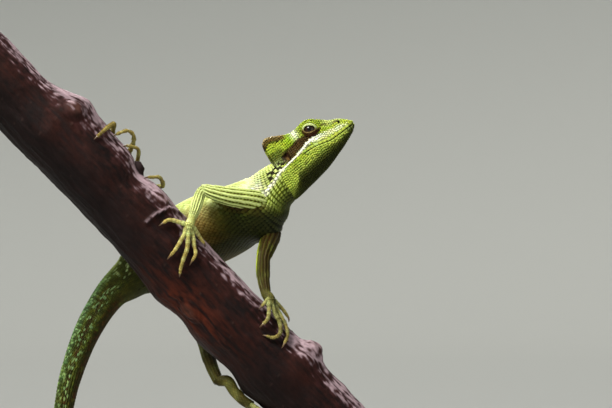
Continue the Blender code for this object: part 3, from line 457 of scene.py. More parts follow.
# %% The limbs' shapes
LIMB_ROWS = {
    "arm_right": (
        (275.0, 211.0, 25.0, 4.2), (265.0, 204.6, 15.0, 4.6), (254.6, 200.6, 9.8, 4.6),
        (242.0, 198.4, 7.4, 4.2), (228.0, 196.2, 6.4, 3.8), (213.0, 192.4, 7.2, 3.0),
        (204.6, 190.0, 8.0, 2.4), (200.6, 194.0, 7.6, 2.4), (197.4, 202.0, 5.0, 2.5),
        (194.4, 211.6, 0.2, 2.15), (191.4, 219.4, -4.6, 1.8),
    ),
    "arm_left": (
        (268.0, 224.0, 24.0, 4.4), (271.0, 234.0, 19.0, 4.2), (268.5, 243.0, 13.0, 3.9),
        (265.5, 251.0, 8.0, 3.4), (263.6, 257.5, 5.4, 3.0), (263.0, 265.0, 4.2, 3.0),
        (263.6, 280.0, 2.4, 2.6), (266.0, 293.5, -0.6, 2.1),
    ),
    "leg_right": (
        (142.0, 266.0, 26.0, 5.0), (134.0, 254.0, 22.8, 4.6), (118.0, 225.0, 22.4, 4.0),
        (104.0, 203.0, 23.2, 3.0), (102.0, 196.0, 23.6, 2.7), (109.0, 193.0, 23.2, 2.8),
        (128.0, 196.0, 21.6, 3.0), (147.0, 200.0, 20.2, 2.4), (157.0, 201.0, 19.6, 2.0),
    ),
    "leg_left": (
        (146.0, 268.0, 34.0, 5.0), (156.0, 280.0, 37.0, 4.6), (174.0, 300.0, 37.6, 4.0),
        (190.0, 318.0, 34.6, 3.2), (198.0, 329.0, 30.4, 2.9), (203.4, 341.0, 24.0, 2.9),
        (208.0, 355.0, 15.0, 2.9), (212.8, 369.0, 7.0, 2.6), (218.0, 380.5, 2.4, 2.2),
    ),
}
DIGIT_RADIUS = 1.05
DIGIT_TIP_RADIUS = 0.7
DIGIT_CLEARANCE = 1.0
CLAW_LENGTH = 2.4
DIGIT_ROWS = {
    "hand_right": (
        ((192, 226, 2.6), (197, 233, 1.6), (201, 239, 0.9), (204, 243, 0.3)),
        ((190, 229, 2.6), (193, 236, 1.9), (194, 245, 1.4), (195.5, 254, 0.9), (192, 261, 0.3)),
        ((188, 229, 2.6), (188, 239, 2.1), (187, 249, 1.6), (183.5, 259, 1.0), (181, 267, 0.6), (180, 273, 0.3)),
        ((186, 228, 2.6), (184.5, 234, 2.0), (180, 242, 1.4), (175, 250, 0.8), (170, 256, 0.3)),
        ((186, 224, 2.4), (180, 222.5, 1.6), (174, 220.5, 1.2), (168, 220, 0.7), (163, 223, 0.3)),
    ),
    "hand_left": (
        ((268.5, 299, 2.6), (265.5, 302, 1.4), (262, 306, 0.4)),
        ((268.8, 301, 2.6), (269, 310, 1.6), (267.6, 319, 1.0), (263, 324, 0.3)),
        ((271, 302, 2.6), (275, 313, 2.0), (280, 324, 1.4), (279.6, 334, 0.9), (273, 337.5, 0.6), (267, 336, 0.3)),
        ((273, 302, 2.6), (279, 313, 1.8), (285, 324, 1.2), (287.6, 335, 0.8), (284, 344, 0.3)),
        ((273, 299.5, 2.4), (278.6, 305, 1.4), (284, 311, 0.8), (288, 317, 0.3)),
    ),
    "foot_right": (
        ((77, 127, 2.0), (79, 110, 1.6), (78, 98, 1.8), (75.8, 92, 2.4), (74, 86, 1.0), (72.8, 79, 0.4)),
        (
            (74.6, 134, 2), (69.6, 141, 1.4), (66, 128, 1.2), (63.6, 108, 1.6), (61, 96, 2.8), (58.2, 88, 1),
            (57, 80, 0.3),
        ),
        (
            (73.6, 137, 2.0), (67, 147, 1.6), (61.5, 136, 1.4), (58.8, 114, 1.4), (57.4, 101, 3.4),
            (55, 95, 5.2), (52.4, 91, 4.4), (51, 87, 1.4), (50.6, 80, 0.3),
        ),
        (
            (73, 140, 2.0), (64.6, 152, 1.4), (55.4, 148, 1.2), (49.6, 126, 1.2), (47, 104, 1.4),
            (46.4, 90, 1.8), (46.4, 75, 1.1), (46.5, 60, 0.8), (46.6, 48, 0.3),
        ),
        ((79.6, 135, 2.0), (85, 141, 1.2), (90, 150, 0.8), (93, 159, 0.3)),
    ),
    "foot_left": (
        ((171.4, -79, 1.4), (176, -67, 1.2), (179, -56, 0.8), (180.6, -47, 0.3)),
        ((172.4, -82, 1.4), (178.6, -74, 1.4), (184, -66, 1.0), (186.6, -57, 0.3)),
        ((173, -85, 1.4), (180, -84, 1.5), (185.6, -79, 1.0), (189, -70, 0.3)),
        ((173, -88, 1.4), (180, -96, 1.6), (185.6, -104, 1.2), (189.4, -113, 0.8), (191, -122, 0.3)),
        ((167.2, -91, 1.7), (166, -105, 1.3), (163.6, -117, 0.9), (161, -126, 0.3)),
    ),
}
SOLES = {  # distance along, angle in degrees, height and radius
    "foot_right": ((80.0, 142.0, 3.6, 2.2), (76.0, 131.0, 2.6, 2.0)),
    "foot_left": ((157.6, -93, 3.2, 2.5), (163, -86, 2.6, 2.3), (168, -83, 2.4, 2.2), (172, -84, 2.2, 2.1)),
}


class Tube:
    """Places, radii and cross axes down a limb or digit, at many even steps."""

    def __init__(self, points, radii, count):
        points = np.asarray(points, float)
        places = join([[0.0], np.cumsum(length_of(np.diff(points, axis=0)) ** 0.5)])
        fine = np.linspace(0, places[-1], 6 * count)
        path = smooth(places, points, fine)
        lengths = join([[0], np.cumsum(length_of(np.diff(path, axis=0)))])
        marks = np.interp(np.linspace(0, lengths[-1], count), lengths, fine)
        self.length = lengths[-1]
        self.spots = smooth(places, points, marks)
        self.radii = smooth(places, np.asarray(radii, float), marks)
        self.ways = unit(np.gradient(self.spots, axis=0))
        side = unit(np.cross(self.ways[0], (0.2, 0.95, 0.1)))
        sides = []
        for way in self.ways:
            side = unit(side - way * float(side @ way))
            sides.append(side)
        self.sides = np.array(sides)
        self.others = np.cross(self.ways, self.sides)

    def at(self, share, turn, lift=0.0):
        """Spot plus radius and lift, times cosine and sine along the two cross axes."""
        share, turn = np.broadcast_arrays(np.asarray(share, float), np.asarray(turn, float))
        place = np.clip(share, 0, 1) * (len(self.spots) - 1)
        i = np.minimum(place.astype(int), len(self.spots) - 2)
        t = (place - i)[..., None]
        spot, side, other, radius = (
            values[i] * (1 - t) + values[i + 1] * t
            for values in (self.spots, self.sides, self.others, self.radii[:, None])
        )
        angle = (TURN * turn)[..., None]
        return spot + (radius + lift) * (np.cos(angle) * side + np.sin(angle) * other)


def digit_tube(points, count=40):
    """A digit swells a little at its joints: three soft bumps on a taper."""
    points = np.asarray(points)
    tube = Tube(points, np.linspace(DIGIT_RADIUS * 1.1, DIGIT_TIP_RADIUS, len(points)), count)
    share = np.linspace(0, 1, count)
    tube.radii = tube.radii * (0.93 + 0.14 * np.cos(TURN * (share * 2.6 - 0.3)) ** 4)
    return tube


def over_bark(name, first, second, height):
    """Places over the bark: by picture place for a hand, by distance along and degrees round for a foot."""
    if "hand" in name:
        return over_branch(first, second, height)
    return on_branch(first, np.radians(second), height)


LIMBS = {}
for name, rows in LIMB_ROWS.items():
    across, down, depth, radii = np.array(rows).T
    LIMBS[name] = Tube(picture_place(across, down, depth), radii, 90 if "arm" in name else 110)
PALMS = {}
DIGITS = {}
for name, picked in DIGIT_ROWS.items():
    limb = LIMBS[name.replace("hand", "arm").replace("foot", "leg")]
    end, way, last = limb.spots[-1], limb.ways[-1], limb.radii[-1]
    paths = []
    for digit in picked:
        first, second, height = np.array(digit, float).T
        paths.append(over_bark(name, first, second, height + DIGIT_CLEARANCE))
    DIGITS[name] = [digit_tube(path) for path in paths]
    stations = [end - way * 3.0, end]
    if name in SOLES:
        along, angle, height, thick = np.array(SOLES[name]).T
        stations += [*over_bark(name, along, angle, height + 0.3)]
        PALMS[name] = Tube(stations, [last * 0.97, last, *thick], 50)
    else:
        knuckles = np.mean([path[0] for path in paths], axis=0)
        beyond = np.mean([path[1] for path in paths[1:4]], axis=0)
        stations += [(end + knuckles) / 2, knuckles, knuckles + unit(beyond - knuckles) * 1.6]
        PALMS[name] = Tube(stations, [last * 0.97, last, last * 1.12, 2.0, 1.2], 40)
print("digits:", sum(len(group) for group in DIGITS.values()))

# %% [markdown]
# Meshes are filled from whole arrays. Each piece is a list of parts, and every part has points, faces, a flat
# map of the skin's own shape and a colour for each point. The map is named OFBake, so finishes can be baked.

# %% Meshes from arrays
def solid_colour(count, colour):
    return np.tile(np.array(colour, float), (count, 1))


def fill_mesh(name, parts, flat=False):
    """Joins parts of (points in mm, list of face arrays, list of corner maps, colours) into one object."""
    corners, counts, maps, start = [], [], [], 0
    for spots, faces, flats, _ in parts:
        for face, patch in zip(faces, flats):
            corners.append((face + start).ravel())
            counts.append(np.full(len(face), face.shape[1]))
            maps.append(np.asarray(patch, float).reshape(-1, 2))
        start += len(spots)
    corners, counts, maps = join(corners), join(counts), join(maps)
    mesh = bpy.data.meshes.new(name)
    mesh.vertices.add(start)
    mesh.vertices.foreach_set("co", (join([part[0] for part in parts]) * MM).astype(np.float32).ravel())
    mesh.loops.add(len(corners))
    mesh.loops.foreach_set("vertex_index", corners.astype(np.int32))
    mesh.polygons.add(len(counts))
    mesh.polygons.foreach_set("loop_start", join([[0], np.cumsum(counts)[:-1]]).astype(np.int32))
    mesh.polygons.foreach_set("use_smooth", np.full(len(counts), not flat))
    mesh.update(calc_edges=True)
    mesh.uv_layers.new(name="OFBake").data.foreach_set("uv", maps.astype(np.float32).ravel())
    colours = np.insert(np.clip(join([part[3] for part in parts]), 0, 1), 3, 1.0, axis=1)
    tint = mesh.attributes.new("Tint", "FLOAT_COLOR", "POINT")
    tint.data.foreach_set("color", colours.astype(np.float32).ravel())
    print(name, "points", start, "triangles", int((counts - 2).sum()))
    return new_object(name, mesh)


def grid_part(rings, colours, window, caps=True):
    """A closed skin over rings, with a fan at each end. window is the left, right, low and high edge of its
    place on the flat map."""
    count, sides = rings.shape[:2]
    left, right, low, high = window
    k = np.arange(count - 1)[:, None]
    j = np.arange(sides)
    after = (j + 1) % sides
    a, b = k * sides + j, k * sides + after
    quads = stack(a, b, b + sides, a + sides).reshape(-1, 4)
    across = left + (right - left) * stack(j, j + 1, j + 1, j) / sides
    along = low + (high - low) * stack(k, k, k + 1, k + 1) / (count - 1)
    faces, maps = [quads], [stack(across, along)]
    points, colours = rings.reshape(-1, 3), colours.reshape(-1, 3)
    if caps:
        points = join([points, [rings[0].mean(0), rings[-1].mean(0)]])
        colours = join([colours, colours[:1], colours[-1:]])
        total, last = count * sides, (count - 1) * sides
        faces += [stack(total, after, j), stack(total + 1, last + j, last + after)]
        spread = left + (right - left) * stack(j + 0.5, j + 1, j) / sides
        maps += [stack(spread, low), stack(spread, high)]
    away = points - points.mean(0)
    volume = np.einsum("ij,ij->", np.cross(away[quads[:, 1]], away[quads[:, 2]]), away[quads[:, 0]])
    if volume < 0:
        faces = [face[:, ::-1] for face in faces]
        maps = [patch[..., ::-1, :] for patch in maps]
    return points, faces, maps, colours


def grid_normals(rings):
    """Unit cross product of the differences along and round the grid, turned away from each ring's middle."""
    along = np.gradient(rings, axis=0)
    around = np.roll(rings, -1, axis=1) - np.roll(rings, 1, axis=1)
    normal = unit(np.cross(along, around))
    outwards = rings - rings.mean(axis=1, keepdims=True)
    sign = np.sign(np.einsum("ijk,ijk->ij", normal, outwards))
    middle = np.sign(np.median(sign))
    return normal * (middle if middle else 1.0)


def value_noise(points, step, seed):
    """Smooth random numbers from 0 to 1: eight lattice values round each point, mixed by a smooth step."""
    table = np.random.default_rng(seed).random(8192)
    cell = np.floor(points / step).astype(np.int64)
    t = points / step - cell
    t = t * t * (3 - 2 * t)
    total = np.zeros(points.shape[:-1])
    for corner in np.ndindex(2, 2, 2):
        x, y, z = np.moveaxis((cell + corner) * (73856093, 19349663, 83492791), -1, 0)
        share = np.abs(1 - np.array(corner) - t)
        total += table[(x ^ y ^ z) % 8192] * share[..., 0] * share[..., 1] * share[..., 2]
    return total


# %% [markdown]
# The markings are worked out once, as a colour for any place on the body, and both the skin and the scales ask
# for it. They are laid on in order, each by its share. Most are steps, bell curves or soft bands round a line,
# in the head's own axes: lips, lids, a white line from the lips over the neck, and a brown patch to the ear.
# Some layers are painted light: painted shade where the animal lies in shade, and painted highlights on top.

# %% Colours and markings
LEAF = (0.185, 0.265, 0.011)
LIME = (0.37, 0.46, 0.040)
CREAM = (0.62, 0.69, 0.29)
WHITE = (0.86, 0.87, 0.68)
OLIVE = (0.042, 0.050, 0.006)
# The darkest green-black is painted shade, laid where the animal lies in shade: throat, chest, far side, hips and
# the tail's base.
PAINTED_SHADING = (0.019, 0.022, 0.004)
MOSS = (0.090, 0.115, 0.011)
BELLY = (0.190, 0.088, 0.016)
BROWN = (0.050, 0.014, 0.005)
DARK = (0.008, 0.003, 0.002)
RIM = (0.13, 0.070, 0.020)
TAN = (0.44, 0.30, 0.065)
TAIL_HIGHLIGHT = (0.062, 0.20, 0.085)
ROSE = (0.86, 0.80, 0.72)
# Painted shade on the limbs that turn away from the light: an olive colour, and each limb's share of it.
LIMB_SHADING_COLOUR = (0.040, 0.030, 0.006)
LIMB_SHADING_SHARE = {
    "arm_left": 0.97, "hand_left": 0.90, "leg_left": 0.92, "foot_left": 0.92,
    "leg_right": 0.35, "foot_right": 0.40,
}
# Lines: distance back, height as seen, half width
WHITE_LINE = np.array((
    (2.0, 0.6, 0.6), (8.0, 1.4, 0.9), (13.0, 2.1, 1.1), (16.0, 2.8, 1.05), (19.3, 3.0, 0.9), (22.0, 2.6, 0.65),
    (27.5, 0.6, 0.55), (32.7, -0.4, 0.5), (37.5, -1.3, 0.6), (41.1, -3.1, 0.8),
    (45.5, -4.6, 1.1), (49.0, -6.0, 1.3),
))
EYE_BAND = np.array((
    (12.9, 5.4, 0.4), (14.5, 4.9, 0.7), (17.0, 4.4, 0.8), (19.5, 4.7, 1.0), (21.5, 4.9, 1.5), (24.0, 4.6, 2.0),
    (27.0, 3.6, 2.3), (30.0, 2.7, 2.6), (32.5, 2.5, 2.3), (34.5, 1.6, 1.1),
))
SNOUT_LINE = np.array(((4.5, 3.6, 0.2), (6.3, 4.2, 0.28), (9.2, 5.3, 0.32), (12.6, 6.4, 0.45)))
CHIN_LINE = np.array(((3, -2.2, 0.3), (10, -2.9, 0.35), (18, -2.1, 0.35), (27, -2.6, 0.35)))
JAW_LINE = np.array(((9, -4.0, 0.2), (16, -3.6, 0.25), (24, -3.9, 0.3), (30, -4.4, 0.3)))
# Under this edge the throat gets painted shade, because it lies in shade below the jaw.
THROAT_EDGE = np.array((  # distance back, and the height as seen under which the throat is dark
    (0.0, -0.2), (2.0, -0.6), (6.0, -2.2), (9.5, -2.9), (13.0, -3.4), (18.4, -4.0), (24.0, -5.0), (31.0, -5.9),
    (32.7, -9.0), (36.8, -12.4), (41.0, -14.5),
))
NAPE_BARS = ((35.2, 1.0, 1.9), (37.8, 0.6, 2.4), (40.5, 0.1, 2.5), (42.7, -1.2, 2.1))  # back, height, half length


def mix(colours, colour, share):
    share = np.asarray(share)[..., None]
    return np.asarray(colours) * (1 - share) + np.asarray(colour) * share


def paint(colour, *layers):
    """Layers of a colour and its share, laid on in order over a first colour."""
    for tone, share in layers:
        colour = mix(colour, tone, share)
    return colour


def line_at(along, line, column=1):
    return np.interp(along, line[:, 0], line[:, column])


def band(across, along, line, soft=0.5):
    """1 inside a band round a line given as rows of along, across and half width, and 0 outside it."""
    half = line_at(along, line, 2)
    inside = fall(np.abs(across - line_at(along, line)), half * (1 - soft), half * (1 + soft))
    return inside * between(along, line[0, 0] - 0.5, line[0, 0] + 0.5, line[-1, 0] - 0.5, line[-1, 0] + 0.5)


def marking_numbers(points):
    """Back, and the height as the viewer sees it on the near side: the far side is its mirror image."""
    back, side, height = head_numbers(points)
    return back, np.abs(side), height, height * math.cos(roll) + np.abs(side) * math.sin(roll)


def from_spot(back, height, spot):
    """How far a place on the head's side lies from a spot's middle."""
    return np.hypot(back - spot[0], height - spot[2])


def ear_inset(back, height):
    """How far inside the ear's triangle a place lies, in mm: the least of its distances from the three edges."""
    corners = np.array(EAR_CORNERS)
    inset = np.full(np.shape(back), 1e9)
    for first, second in zip(corners, np.roll(corners, -1, axis=0)):
        way = unit(second - first)
        inset = np.minimum(inset, way[1] * (back - first[0]) - way[0] * (height - first[1]))
    return inset


def nape_bars(back, seen):
    """Dark bars behind the ear, over the white line: each is a soft oval turned to lie level in the picture."""
    share = np.zeros(np.shape(back))
    for middle, height, half in NAPE_BARS:
        along = (back - middle) * math.cos(pitch) + (seen - height) * math.sin(pitch)
        across = (back - middle) * math.sin(pitch) - (seen - height) * math.cos(pitch)
        share = np.maximum(share, fall(np.hypot(along / half, across / 0.58), 0.92, 1.10))
    return share


def head_tint(points):
    """Green with lime and cream lips and olive painted shade on the throat, the casque's brown rim with a painted
    highlight on its top and painted shade under it, painted highlights on the snout's top and behind the eye,
    the brown patch behind the eye, the ear's drum, the nostril, the dark bars of the nape and the white line."""
    back, side, height, seen = marking_numbers(points)
    cloud = value_noise(points, 3.1, 11)
    low = line_at(back, THROAT_EDGE) - seen
    rise = height - line_at(back, HEAD_LINES, 4)
    casque_shade = step_up(back, 30.5, 33.5) * between(seen, 0.5, 2.0, 6.4, 8.2)
    casque = between(back, 26.5, 30, 39.5, 41) * step_up(rise, -2.6, -1.7)
    ear = ear_inset(back, height)
    drum = paint(
        (0.06, 0.018, 0.004),
        ((0.30, 0.16, 0.015), 0.9 * bump(np.hypot(back - 32.0, (height + 0.3) / 1.7))),
        (DARK, 0.9 * fall(ear, 0.15, 0.65)),
    )
    white = (0.35 + 0.65 * step_up(back, 12.0, 17.0)) * (ear < -0.05)
    return paint(
        LEAF,
        (LIME, 0.25 + 0.45 * cloud),
        (LIME, 0.8 * between(seen, -2.2, -0.6, 3.4, 5.2) * fall(back, 17, 22)),
        (CREAM, 0.75 * between(seen, 0.0, 0.8, 2.2, 3.1) * between(back, 3, 7, 17.5, 20)),
        ((0.26, 0.38, 0.012), 0.85 * bell((back - 10.5) / 3.4, (seen - 4.0) / 0.9)),
        # Painted shade on the throat: moss, olive and the darkest layer, deeper the further below the throat's
        # edge.
        (MOSS, 0.80 * step_up(low, -0.9, 0.5)),
        (OLIVE, 0.95 * step_up(low, -0.1, 1.3)),
        (PAINTED_SHADING, 0.88 * step_up(low, 1.1, 3.9)),
        (LIME, 0.6 * band(seen, back, CHIN_LINE)),
        (OLIVE, 0.6 * band(seen, back, JAW_LINE)),
        # Painted highlight: cream on the snout's top, where light falls.
        (CREAM, 0.45 * step_up(height, 2.2, 4.2) * fall(back, 9, 13)),
        ((0.22, 0.38, 0.006), 0.9 * bell((back - 27.0) / 3.2, (seen - 8.0) / 2.4)),
        # Painted highlight: a white spot behind the eye.
        (WHITE, 0.85 * bell((back - 24.2) / 1.5, (seen - 9.0) / 2.1)),
        # Painted shade under the casque's rear: moss, with olive in patches.
        (MOSS, 0.90 * casque_shade),
        (OLIVE, 0.60 * casque_shade * step_up(cloud, 0.25, 0.6)),
        (RIM, 0.92 * casque),
        # Painted highlight: pale tan along the top of the casque's rim.
        ((0.38, 0.30, 0.15), 0.6 * casque * step_up(rise, -0.7, -0.1)),
        (BROWN, 0.85 * between(back, 37.2, 38.2, 39.8, 41.0) * step_up(height, 3.6, 6.0)),
        (DARK, 0.85 * bell((rise + 2.3) / 0.45) * step_up(back, 28.5, 31.5)),
        (LIME, 0.6 * step_up(back, 27, 31) * between(rise, -6.0, -4.4, -3.0, -2.2)),
        ((0.036, 0.009, 0.004), 0.95 * band(seen, back, EYE_BAND, 0.3)),
        (BROWN, 0.75 * band(seen, back, SNOUT_LINE)),
        (drum, step_up(ear, -0.12, 0.08)),
        (DARK, fall(from_spot(back, height, NOSTRIL_PLACE), 0.45, 0.62) * (side > 1.0)),
        (CREAM, 0.55 * bell((back - 38.6) / 4.0, (seen - 0.2) / 2.6)),
        (DARK, 0.97 * nape_bars(back, seen)),
        (WHITE, 0.95 * band(seen, back, WHITE_LINE, 0.35) * white),
    )


def near_arm_shade(points):
    """Share of painted shade on the trunk where the near arm lies against it from above: 1 there, falling to 0 at
    3 mm from the arm.
    """
    tube = LIMBS["arm_right"]
    first = len(tube.spots) // 6
    spots, radii = tube.spots[first::3], tube.radii[first::3]
    apart = length_of(points[:, None] - spots)
    nearest = apart.argmin(axis=1)
    away = apart[np.arange(len(points)), nearest] - radii[nearest]
    return np.clip(1 - away / 3.0, 0, 1) * step_up(spots[nearest, 2] - points[:, 2], 0.5, 2.0)


def trunk_tint(points, place, turn):
    """Green back with painted highlights on the shoulder and upper back, brown belly with painted glints at its
    edge, and olive painted shade on the throat, chest, far side and hips, by how far round the section a place
    lies;
    painted shade under the near arm, and a dark tail with a painted teal highlight on top, pale flecks and a
    brown row along its side."""
    back, _, _, seen = marking_numbers(points)
    near = (back < 52) & (place < 2.6)
    round_back = from_back(turn)
    cloud = value_noise(points, 4.3, 12)
    fine = value_noise(points, 1.7, 13)
    chest = fall(place, 3.1, 4.5)
    stations = (0.0, 1.0, 1.6, 2.1, 3.0, 4.4, 6.0, 8.0)
    edge = np.interp(place, stations, (0.84, 0.78, 0.70, 0.60, 0.55, 0.55, 0.55, 0.54))
    depth = round_back + 0.05 * (cloud - 0.5) - edge
    far_underside_shade = step_up(round_back, 0.60, 0.74) * (turn % 1.0 < 0.5) + step_up(round_back, 0.93, 1.0)
    painted_sparkle = step_up(value_noise(points, 1.1, 16), 0.48, 0.62) * bell((depth + 0.03) / 0.06)
    shoulder = bell((place - 1.8) / 1.1) * fall(round_back, 0.46, 0.62)
    bars = [bell((place - middle + 0.5 * (fine - 0.5)) / 0.3) for middle in (4.2, 5.9, 7.6, 9.3, 11.2)]
    hips = step_up(place, 7.4, 8.6) * step_up(round_back, 0.22, 0.42)
    tail = step_up(place, 8.6, 11.0)
    green = mix(OLIVE, MOSS, 0.25 + 0.45 * cloud)
    tail_top_highlight = tail * fall(round_back, 0.26, 0.46)
    row = np.minimum(bell((round_back - 0.52) / 0.07) + step_up(round_back, 0.66, 0.80), 1)
    ground = step_up(value_noise(points, 0.9, 18), 0.35, 0.55) * np.maximum(tail, 0.8 * hips)
    fleck = step_up(value_noise(points, 0.75, 19), 0.58, 0.74) * np.maximum(tail, 0.7 * hips)
    fleck = fleck * fall(round_back, 0.58, 0.72)
    patch = bell((back - 51.0) / 3.6, (seen + 1.0) / 2.6) * (place < 5)
    return paint(
        LEAF,
        (LIME, 0.35 + 0.45 * cloud),
        # Painted shade under the neck and chest, where the animal lies in shade: the moss, olive and darkest
        # layers; the brown belly between them is its own colour.
        (MOSS, 0.80 * step_up(depth, -0.16, 0.0) * chest),
        (BELLY, 0.92 * step_up(depth, -0.07, 0.09) * between(place, 2.2, 4.6, 8.5, 10.5)),
        (OLIVE, 0.90 * step_up(depth, -0.05, 0.10) * chest),
        (PAINTED_SHADING, 0.80 * step_up(depth, 0.06, 0.20) * chest),
        (PAINTED_SHADING, 0.70 * step_up(depth, 0.20, 0.34) * fall(place, 4.0, 6.0)),
        # Painted shade on the lower far flank and the belly's middle, which lie in shade.
        (PAINTED_SHADING, 0.85 * np.minimum(far_underside_shade, 1.0) * between(place, 0.5, 1.5, 8, 9.5)),
        # Painted glints: cream sparkles where the flank meets the belly.
        (CREAM, 0.9 * painted_sparkle * between(place, 2.8, 3.6, 8.0, 9.5)),
        # Painted highlight: a mottled white sheen on the shoulder's top.
        (WHITE, 0.50 * shoulder * step_up(value_noise(points, 2.6, 17), 0.10, 0.55)),
        # Painted highlight: a pale cream band along the upper back, where light falls.
        (CREAM, 0.55 * bell((place - 4.6) / 1.7) * fall(round_back, 0.30, 0.48)),
        *((MOSS, 0.45 * bar * fall(round_back, 0.35, 0.7)) for bar in bars),
        # Painted shade on the hips, which lie in shade under the branch: olive, and darker below.
        (OLIVE, 0.85 * hips),
        (PAINTED_SHADING, 0.65 * hips * step_up(round_back, 0.40, 0.55)),
        (green, tail),
        # Painted highlight: teal along the top of the tail, where light falls, broken by moss specks.
        (TAIL_HIGHLIGHT, 0.50 * tail_top_highlight * (1 - 0.6 * step_up(place, 13.0, 17.0))),
        (MOSS, 0.55 * tail_top_highlight * step_up(fine, 0.45, 0.75)),
        (0.7 * np.array(BROWN), 0.9 * tail * row * step_up(fine + 0.3 * cloud, 0.25, 0.50)),
        (BROWN, 0.55 * step_up(np.sin(place * TURN / 1.05), 0.2, 0.8) * step_up(place, 15, 17)),
        # Painted shade in patches over the hips and the tail's base.
        (PAINTED_SHADING, 0.72 * ground * fall(place, 17.0, 21.0)),
        ((0.25, 0.38, 0.13), 0.66 * fleck * (1 - 0.5 * step_up(place, 15.0, 20.0))),
        (LEAF, 0.80 * bell((back - 53.5) / 5.5, (seen + 7.6) / 2.0) * (place < 5)),
        (ROSE, 0.90 * patch * step_up(fine, 0.30, 0.60)),
        (BROWN, 0.60 * patch * fall(value_noise(points, 1.2, 20), 0.32, 0.50)),
        (CREAM, 0.55 * bell((back - 38.6) / 4.0, (seen - 0.2) / 2.6) * near),
        (DARK, 0.97 * nape_bars(back, seen) * near),
        # Painted shade under the near arm.
        (BROWN, 0.80 * near_arm_shade(points) * (place < 5) * fall(place, 3.6, 4.6)),
        (WHITE, 0.9 * band(seen, back, WHITE_LINE, 0.35) * near),
    )


def limb_tint(points, share, name):
    """Green at the root, paler lime down the limb, and creamy on the hand or foot. The limbs that turn away from
    the light get painted shade, a share of olive, and the far forearm keeps a lime edge as a painted highlight."""
    cloud = value_noise(points, 3.3, 14)
    colour = paint(
        LEAF,
        (LIME, 0.35 + 0.40 * cloud),
        (CREAM, 0.05 + 0.35 * step_up(share, 0.35, 0.95)),
        *(((CREAM, 0.2), (TAN, 0.3)) if name in PALMS else ()),
        (LIMB_SHADING_COLOUR, np.clip(LIMB_SHADING_SHARE.get(name, 0.0) * (0.85 + 0.3 * cloud), 0, 1)),
    )
    if name == "arm_right":
        root = fall(share, 0.08, 0.30) * step_up(value_noise(points, 1.7, 13), 0.25, 0.55)
        colour = mix(colour, ROSE, 0.75 * root)
    # Painted highlight: the far forearm's outer edge keeps a lime line where light falls on it.
    if name == "arm_left":
        tube = LIMBS[name]
        nearest = np.clip(share * (len(tube.spots) - 1), 0, len(tube.spots) - 1).astype(int)
        outer = (tube.spots[nearest, 0] - points[:, 0]) / tube.radii[nearest]
        colour = mix(colour, LIME, 0.85 * step_up(outer, 0.70, 0.90) * between(share, 0.30, 0.42, 0.62, 0.80))
    return colour


def digit_tint(points, share, name):
    """Creamy green at the root, golden in the middle and tan at the tip, with brown specks, and painted shade on
    the digits of the limbs that turn away from the light.
    """
    swelling = np.cos(TURN * (share * 2.6 - 0.3)) ** 4
    return paint(
        mix(CREAM, LIME, 0.45),
        (TAN, 0.15 + 0.75 * step_up(share, 0.0, 0.6)),
        (CREAM, 0.45 * swelling * fall(share, 0.6, 0.9)),
        (BELLY, 0.05 + 0.45 * step_up(value_noise(points, 1.3, 15), 0.4, 0.8) * (1 - 0.6 * swelling)),
        (LIMB_SHADING_COLOUR, 0.65 * LIMB_SHADING_SHARE.get(name, 0.0) * (0.6 + 0.8 * value_noise(points, 2.2, 18))),
    )


print("markings: lines", len(WHITE_LINE), len(EYE_BAND))

# %% [markdown]
# The skin is one grid from the snout to the tail's tip, with tubes for limbs, palms and digits let into it. It
# lies a little inside the solids, by the scales' depth. Relief on the head comes from soft hills and dents: each
# is a height times a bell curve or a step of the distance from its middle.

# %% The skin
SKIN_INSET = 0.3
SKIN_SIDES = 140
HEAD_RINGS = 118
LIMB_SIDES = 44
PALM_SIDES = 32
DIGIT_SIDES = 16
MOUTH_TURN = 4.0
MOUTH_END = 25.0
DIGIT_INSET = 0.22
JOINT_FILL = 2.5
JOINT_REACH = 6.5
BETWEEN = 0.30  # the skin between the scales is this much darker than they are
HEAD_BETWEEN = 0.40


def head_relief(points, turn):
    """Height in mm to add along the normal at places on the head."""
    back, side, height, _ = marking_numbers(points)
    corner = from_back(turn) * CORNERS / 2
    ear = ear_inset(back, height)
    nostril = from_spot(back, height, NOSTRIL_PLACE) / 0.62
    lips = 0.20 * bell((corner - 3.45) / 0.3) + 0.14 * bell((corner - 4.5) / 0.25)
    lips = lips - 0.55 * bell((corner - MOUTH_TURN) / 0.17)
    crest = 0.12 * between(back, 4, 8, 14, 17) + 0.42 * step_up(back, 24, 30)
    cheek = (
        -1.9 * bump(from_spot(back, height, EYE_PLACE) / 3.7)
        - 0.9 * step_up(ear, 0.0, 0.75)
        + 0.25 * bump(np.hypot((back - 32.0) / 1.1, (height + 0.3) / 2.0))
        + 0.25 * bell((ear + 0.55) / 0.4)
        + 0.45 * bump(np.hypot(back - 27.0, height - 6.4) / 3.4)
        + 0.35 * bump(np.hypot(back - 28.5, height + 4.0) / 6.0)
        - 0.30 * bell((height - 2.6) / 0.8) * step_up(back, 22, 26)
    )
    return (
        lips * between(back, 0.4, 1.6, MOUTH_END - 2.5, MOUTH_END)
        + cheek * (side > 2.0)
        + (0.20 * bell((nostril - 1.45) / 0.4) - 0.95 * bump(nostril)) * (side > 1.0)
        + crest * bell((corner - 1.0) / 0.24)
        + 0.10 * (value_noise(points, 2.0, 21) - 0.5)
    )


def joint_fill(points):
    """How far the trunk's skin swells towards a limb that leaves it: the most at the limb's own skin, and the
    square of what is left of the reach away from it."""
    fill = np.zeros(len(points))
    for tube in LIMBS.values():
        apart = (points**2).sum(1)[:, None] + (tube.spots**2).sum(1)[None, :] - 2 * points @ tube.spots.T
        away = np.sqrt(np.maximum(apart, 0)) - tube.radii[None, :]
        near = np.clip(1 - np.maximum(away.min(axis=1), 0) / JOINT_REACH, 0, 1)
        fill = np.maximum(fill, JOINT_FILL * near**2)
    return fill


